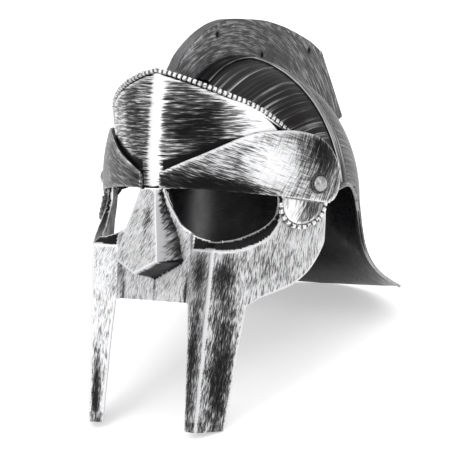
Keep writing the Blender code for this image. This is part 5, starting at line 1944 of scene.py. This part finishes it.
        # bright lines along creases, rims and edges: partly silver caught on the edges, partly
        # painted highlights
        bright = [self.crease, self.main_crease, self.rim, self.ledge,
                  form.prong_edge(PRONG_OUTER), form.prong_edge(PRONG_INNER),
                  flowing(form.edge(CHEEK_EDGE), 3.0)]
        wear = 0.9 * fade(distance(flat, bright), 0.5)
        soil_and_shade = 0.45 * fade(distance(flat, [self.foot]), 0.6)
        chin = [(0.0, -NOSE_FOOT[-1][1] * form.lip_drop), (0.0, -form.lip_drop)]
        soil_and_shade += 0.25 * fade(distance(flat, [chin]), 0.35)
        side = past(flat[:, 0], form.crease, 4.0)
        prong = before(flat[:, 1], -66.0, 5.0)
        cross = np.clip(0.2 + 0.7 * side * (1 - prong) + 0.8 * prong, 0.0, 1.0)
        cross[on_flank] = 1.0
        values = {"tone": tones[0], "wear": wear, "soil_and_shade": soil_and_shade, "cross": cross}
        pattern = [tuple(p) for p in flat]
        return Skin(points, faces, pattern, values).mirrored(True, tones[1])

    def dress(self) -> bpy.types.Object:
        """Build the mask in place of its node.

        Returns:
            The finished object.
        """
        coat = BrushedSilver("mask_coat", Brush.RISING, Brush.STEEP, 2.3, 25.0, 0.8,
                             softness=0.38, seed=9.0, silver=(0.66, 0.66, 0.67)).make(self.shop)
        inner = BarePlastic("mask_inner").make(self.shop)
        mask = build("dressed_face_mask", self.skin(), (coat, inner), self.wall, 0.45, 28.0)
        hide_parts("face_mask")
        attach(mask, "root")
        return mask


@dataclass
class Temple:
    """Half-round boss with its beaded rim, and the rivet above it."""

    shop: Workshop
    side: Side
    mask: MaskForm
    brow: BrowForm
    half_length: float = 24.0
    half_height: float = 20.4
    along: float = 0.771
    height: float = 2.6
    plate: float = 1.4
    rim_radius: float = 1.9
    fit: float = 0.3
    head_radius: float = 6.4
    washer_radius: float = 8.2
    head_height: float = 4.4
    shank_radius: float = 2.5
    rivet_along: float = 0.832
    rivet_height: float = 17.8
    lift: float = 0.9
    reach: float = 8.0
    patches: tuple[Patch, ...] = (Patch(118.0, -6.0, 9.0, 14.0, 0.35),
                                  Patch(140.0, -4.0, 9.0, 14.0, -0.15))

    def outline(self, shrink: float, step: float) -> tuple[list[Point2], list[Point2]]:
        """Arc and chord of the boss on the mask's sheet.

        Args:
            shrink: How far it is inset.
            step: Distance between points.

        Returns:
            The arc from front to back, and the chord back to the front.
        """
        low = np.array(self.brow.edge(BROW_BOTTOM))[::-1]
        centre = (self.along * self.mask.girth, self.height)
        half_length, half_height = self.half_length - shrink, self.half_height - shrink
        count = max(8, int(math.pi * half_height / step))
        arc = [(centre[0] + half_length * math.cos(turn),
                centre[1] + half_height * math.sin(turn))
               for turn in np.linspace(math.pi, 2 * math.pi, count)]
        left = float(np.interp(arc[0][0], low[:, 0], low[:, 1])) - 0.8
        right = float(np.interp(arc[-1][0], low[:, 0], low[:, 1])) - 0.8
        arc[-1] = (arc[-1][0], right)
        return arc, straight([arc[-1], (arc[0][0], left)], step)

    def raised(self, along: float, z: float, lift: float) -> Vector:
        """Point lifted off the mask's base face."""
        return self.mask.base(along, z) + self.mask.normal(along, z) * lift

    def flipped(self, point: Vector) -> Vector:
        """Point on this temple's side."""
        return Vector((self.side.value * point.x, point.y, point.z))

    def dress_boss(self) -> bpy.types.Object:
        """Build the boss in place of its node.

        Returns:
            The finished object.
        """
        arc, chord = self.outline(2 * self.rim_radius + 2 * self.fit, 1.6)
        flat, faces = cut_sheet(arc + chord[1:], 1.8)
        lift = 3 * self.fit + self.plate
        gap = distance(flat, [arc])
        points = [self.raised(a, z, lift + 0.5 * (1 - math.exp(-g / 1.5)))
                  for (a, z), g in zip(flat, gap)]
        values = {"tone": painted(flat, 0.55, self.patches), "wear": 0.4 * fade(gap, 0.7),
                  "soil_and_shade": np.zeros(len(flat)), "cross": np.full(len(flat), 0.5)}
        skin = Skin(points, facing_out(points, faces), [tuple(p) for p in flat], values)
        if self.side is Side.RIGHT:
            skin = skin.mirrored()
        coat = BrushedSilver("boss_coat_" + self.side.word, Brush.RISING, Brush.STEEP, 1.0,
                             11.0, 0.6, seed=31.0).make(self.shop)
        boss = build("dressed_temple_boss_" + self.side.word, skin, (coat,), self.plate, 0.4)
        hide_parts("temple_boss_" + self.side.word)
        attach(boss, "root")
        return boss

    def dress_rim(self) -> bpy.types.Object:
        """Build the boss's beaded rim in place of its node.

        Returns:
            The finished object.
        """
        arc, _ = self.outline(self.rim_radius, 1.5)
        lift = self.fit + self.rim_radius
        path = [self.flipped(self.raised(*p, lift)) for p in arc]
        path[0] = path[1].lerp(path[0], 0.6)
        facing = [self.flipped(self.mask.normal(*p)) for p in arc]
        return beaded_piece("dressed_boss_rim_" + self.side.word, self.shop, path, facing,
                            BeadSizes(5.1, 3.6, 3.2, 1.3), "boss_rim_" + self.side.word)

    def dress_rivet(self) -> bpy.types.Object:
        """Build the rivet in place of its node.

        Returns:
            The finished object.
        """
        plan = self.brow.plan()
        along = self.rivet_along * self.brow.length
        place = plan.at(along) * self.brow.tuck(self.rivet_height)
        seat = self.flipped(Vector((place[0], place[1], self.rivet_height)))
        normal = self.flipped(Vector((*plan.normal(along, 6.0), 0.0)))
        profile = [(0.0, -self.reach), (2 * self.shank_radius, -self.reach)]
        profile += [(2 * self.shank_radius, -self.reach + 1.2),
                    (self.shank_radius, -self.reach + 1.2), (self.shank_radius, self.lift),
                    (self.washer_radius, self.lift), (self.washer_radius, self.lift + 0.7),
                    (self.washer_radius - 0.4, self.lift + 1.15),
                    (self.washer_radius - 1.0, self.lift + 1.2),
                    (self.head_radius + 0.3, self.lift + 0.5)]
        for turn in np.linspace(math.pi / 2, 0.0, 14):
            profile.append((self.head_radius * math.sin(turn),
                            self.lift + 1.0 + self.head_height * math.cos(turn)))
        axis = STANCE.turned(normal)
        turn_to = axis.to_track_quat("Z", "Y").to_matrix()
        bm = bmesh.new()
        chain = [bm.verts.new((x, 0.0, z)) for x, z in profile]
        for a, b in zip(chain[:-1], chain[1:]):
            bm.edges.new((a, b))
        bmesh.ops.spin(bm, geom=list(bm.verts) + list(bm.edges), axis=(0.0, 0.0, 1.0),
                       cent=(0.0, 0.0, 0.0), steps=48, angle=2 * math.pi)
        bmesh.ops.remove_doubles(bm, verts=bm.verts, dist=0.005)
        bmesh.ops.recalc_face_normals(bm, faces=bm.faces)
        start = STANCE.place(seat)
        for vert in bm.verts:
            vert.co = turn_to @ (vert.co * MM) + start
        name = "dressed_rivet_" + self.side.word
        mesh = bpy.data.meshes.new(name)
        bm.to_mesh(mesh)
        bm.free()
        for part, silver, missed in (("head", 0.36, 0.36), ("washer", 0.10, 0.52)):
            mesh.materials.append(RubbedMetal("rivet_%s_%s" % (part, self.side.word),
                                              silver=(silver, silver, silver), missed=missed,
                                              dark=(0.015, 0.015, 0.016), scale=6.0,
                                              roughness=0.30).make(self.shop))
        for face in mesh.polygons:
            reach = (face.center - start).cross(axis).length / MM
            face.material_index = 1 if reach > self.head_radius + 0.1 else 0
        obj = bpy.data.objects.new(name, mesh)
        bpy.context.scene.collection.objects.link(obj)
        settle(obj, 50.0)
        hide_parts("rivet_" + self.side.word)
        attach(obj, "root")
        return obj


# ---- Studio ----


@dataclass
class SoftBox:
    """One square light that faces the helmet."""

    name: str
    azimuth: float
    elevation: float
    distance: float
    width: float
    height: float
    power: float

    def hang(self, centre: Vector) -> bpy.types.Object:
        """Put the light up.

        Args:
            centre: Point that it faces.

        Returns:
            The light's object.
        """
        lamp = bpy.data.lights.new(self.name, "AREA")
        lamp.shape = "RECTANGLE"
        lamp.size, lamp.size_y = self.width, self.height
        lamp.energy = self.power
        obj = bpy.data.objects.new(self.name, lamp)
        a, e = math.radians(self.azimuth), math.radians(self.elevation)
        away = Vector((math.sin(a) * math.cos(e), -math.cos(a) * math.cos(e), math.sin(e)))
        obj.location = centre + away * self.distance
        obj.rotation_mode = "QUATERNION"
        obj.rotation_quaternion = away.to_track_quat("Z", "Y")
        bpy.context.scene.collection.objects.link(obj)
        return obj


@dataclass
class Studio:
    """Pale floor, soft light and the camera at the photograph's angle."""

    azimuth: float = 31.0
    pitch: float = 4.48
    focal: float = 1865.0
    frame_width: float = 450.0
    aim_rise: float = 25.0
    reach: float = 1554.2
    boxes: tuple[SoftBox, ...] = (
        SoftBox("key_light", -10.0, 22.0, 1.6, 0.6, 1.4, 7.0),
        SoftBox("side_light", 78.0, 24.0, 1.7, 0.6, 1.2, 5.0),
        SoftBox("top_light", 0.0, 90.0, 3.0, 6.0, 6.0, 95.0),
    )

    def lay_floor(self) -> None:
        """Lay the floor."""
        bm = bmesh.new()
        bmesh.ops.create_grid(bm, x_segments=8, y_segments=8, size=12.0)
        mesh = bpy.data.meshes.new("floor")
        bm.to_mesh(mesh)
        bm.free()
        material, bench, shader = start_material("floor_paint")
        place = bench.add("ShaderNodeTexCoord").outputs["Object"]
        ramp = bench.add("ShaderNodeValToRGB", {"Fac": bench.noise(place, 0.6, 2.0)})
        ramp.color_ramp.elements[0].color = (0.90, 0.90, 0.90, 1.0)
        ramp.color_ramp.elements[1].color = (0.93, 0.93, 0.93, 1.0)
        bench.tree.links.new(ramp.outputs[0], shader.inputs["Base Color"])
        shader.inputs["Roughness"].default_value = 0.9
        shader.inputs["Emission Color"].default_value = (1.0, 1.0, 1.0, 1.0)
        shader.inputs["Emission Strength"].default_value = 0.40
        mesh.materials.append(material)
        floor = bpy.data.objects.new("floor", mesh)
        bpy.context.scene.collection.objects.link(floor)

    def light(self) -> None:
        """Put up the soft lights and the pale surroundings."""
        world = bpy.data.worlds.new("studio_air")
        world.use_nodes = True
        background = world.node_tree.nodes["Background"]
        background.inputs["Color"].default_value = (1.0, 1.0, 1.0, 1.0)
        background.inputs["Strength"].default_value = 0.55
        bpy.context.scene.world = world
        centre = STANCE.place((0.0, 0.0, 0.0))
        for box in self.boxes:
            box.hang(centre)

    def set_camera(self) -> None:
        """Put the camera where the photograph was taken from."""
        a, p = math.radians(self.azimuth), math.radians(self.pitch)
        right = Vector((math.cos(a), math.sin(a), 0.0))
        level = Vector((-math.sin(a), math.cos(a), 0.0))
        forward = level * math.cos(p) - Vector((0.0, 0.0, math.sin(p)))
        up = Vector((0.0, 0.0, math.cos(p))) + level * math.sin(p)
        place = -(up * (self.aim_rise / self.focal) + forward) * self.reach
        data = bpy.data.cameras.new("studio_camera")
        data.sensor_width = 36.0
        data.lens = self.focal / self.frame_width * 36.0
        data.clip_start, data.clip_end = 0.05, 50.0
        camera = bpy.data.objects.new("studio_camera", data)
        axes = Matrix([STANCE.turned(v) for v in (right, up, -forward)]).transposed()
        camera.matrix_world = Matrix.Translation(STANCE.place(place)) @ axes.to_4x4()
        bpy.context.scene.collection.objects.link(camera)
        bpy.context.scene.camera = camera
        bpy.context.scene.view_settings.view_transform = "Standard"

    def set_up(self) -> None:
        """Set up floor, light and camera."""
        self.lay_floor()
        self.light()
        self.set_camera()


def report(*pieces: bpy.types.Object) -> None:
    """Log the size of each finished piece."""
    for piece in pieces:
        LOG.info("%s: %d faces", piece.name, len(piece.data.polygons))


def main() -> None:
    """Build and dress the helmet, then set up the studio."""
    logging.basicConfig(level=logging.INFO, format="%(name)s %(message)s")
    shop = Workshop()
    dome, brow, forehead = DomeForm(), BrowForm(), ForeheadForm()
    mask = MaskForm(brow)
    report(SkullShell(shop, dome).dress())
    report(Strap(shop, dome).dress())
    report(*Comb(shop, dome, forehead).dress())
    top = Forehead(shop, dome, forehead, brow)
    report(top.dress_plate(), top.dress_trim())
    report(FaceMask(shop, mask).dress())
    for side in Side:
        report(BrowPlate(shop, side, brow, forehead).dress())
        temple = Temple(shop, side, mask, brow)
        report(temple.dress_boss(), temple.dress_rim(), temple.dress_rivet())
    Studio().set_up()


if __name__ == "__main__":
    main()
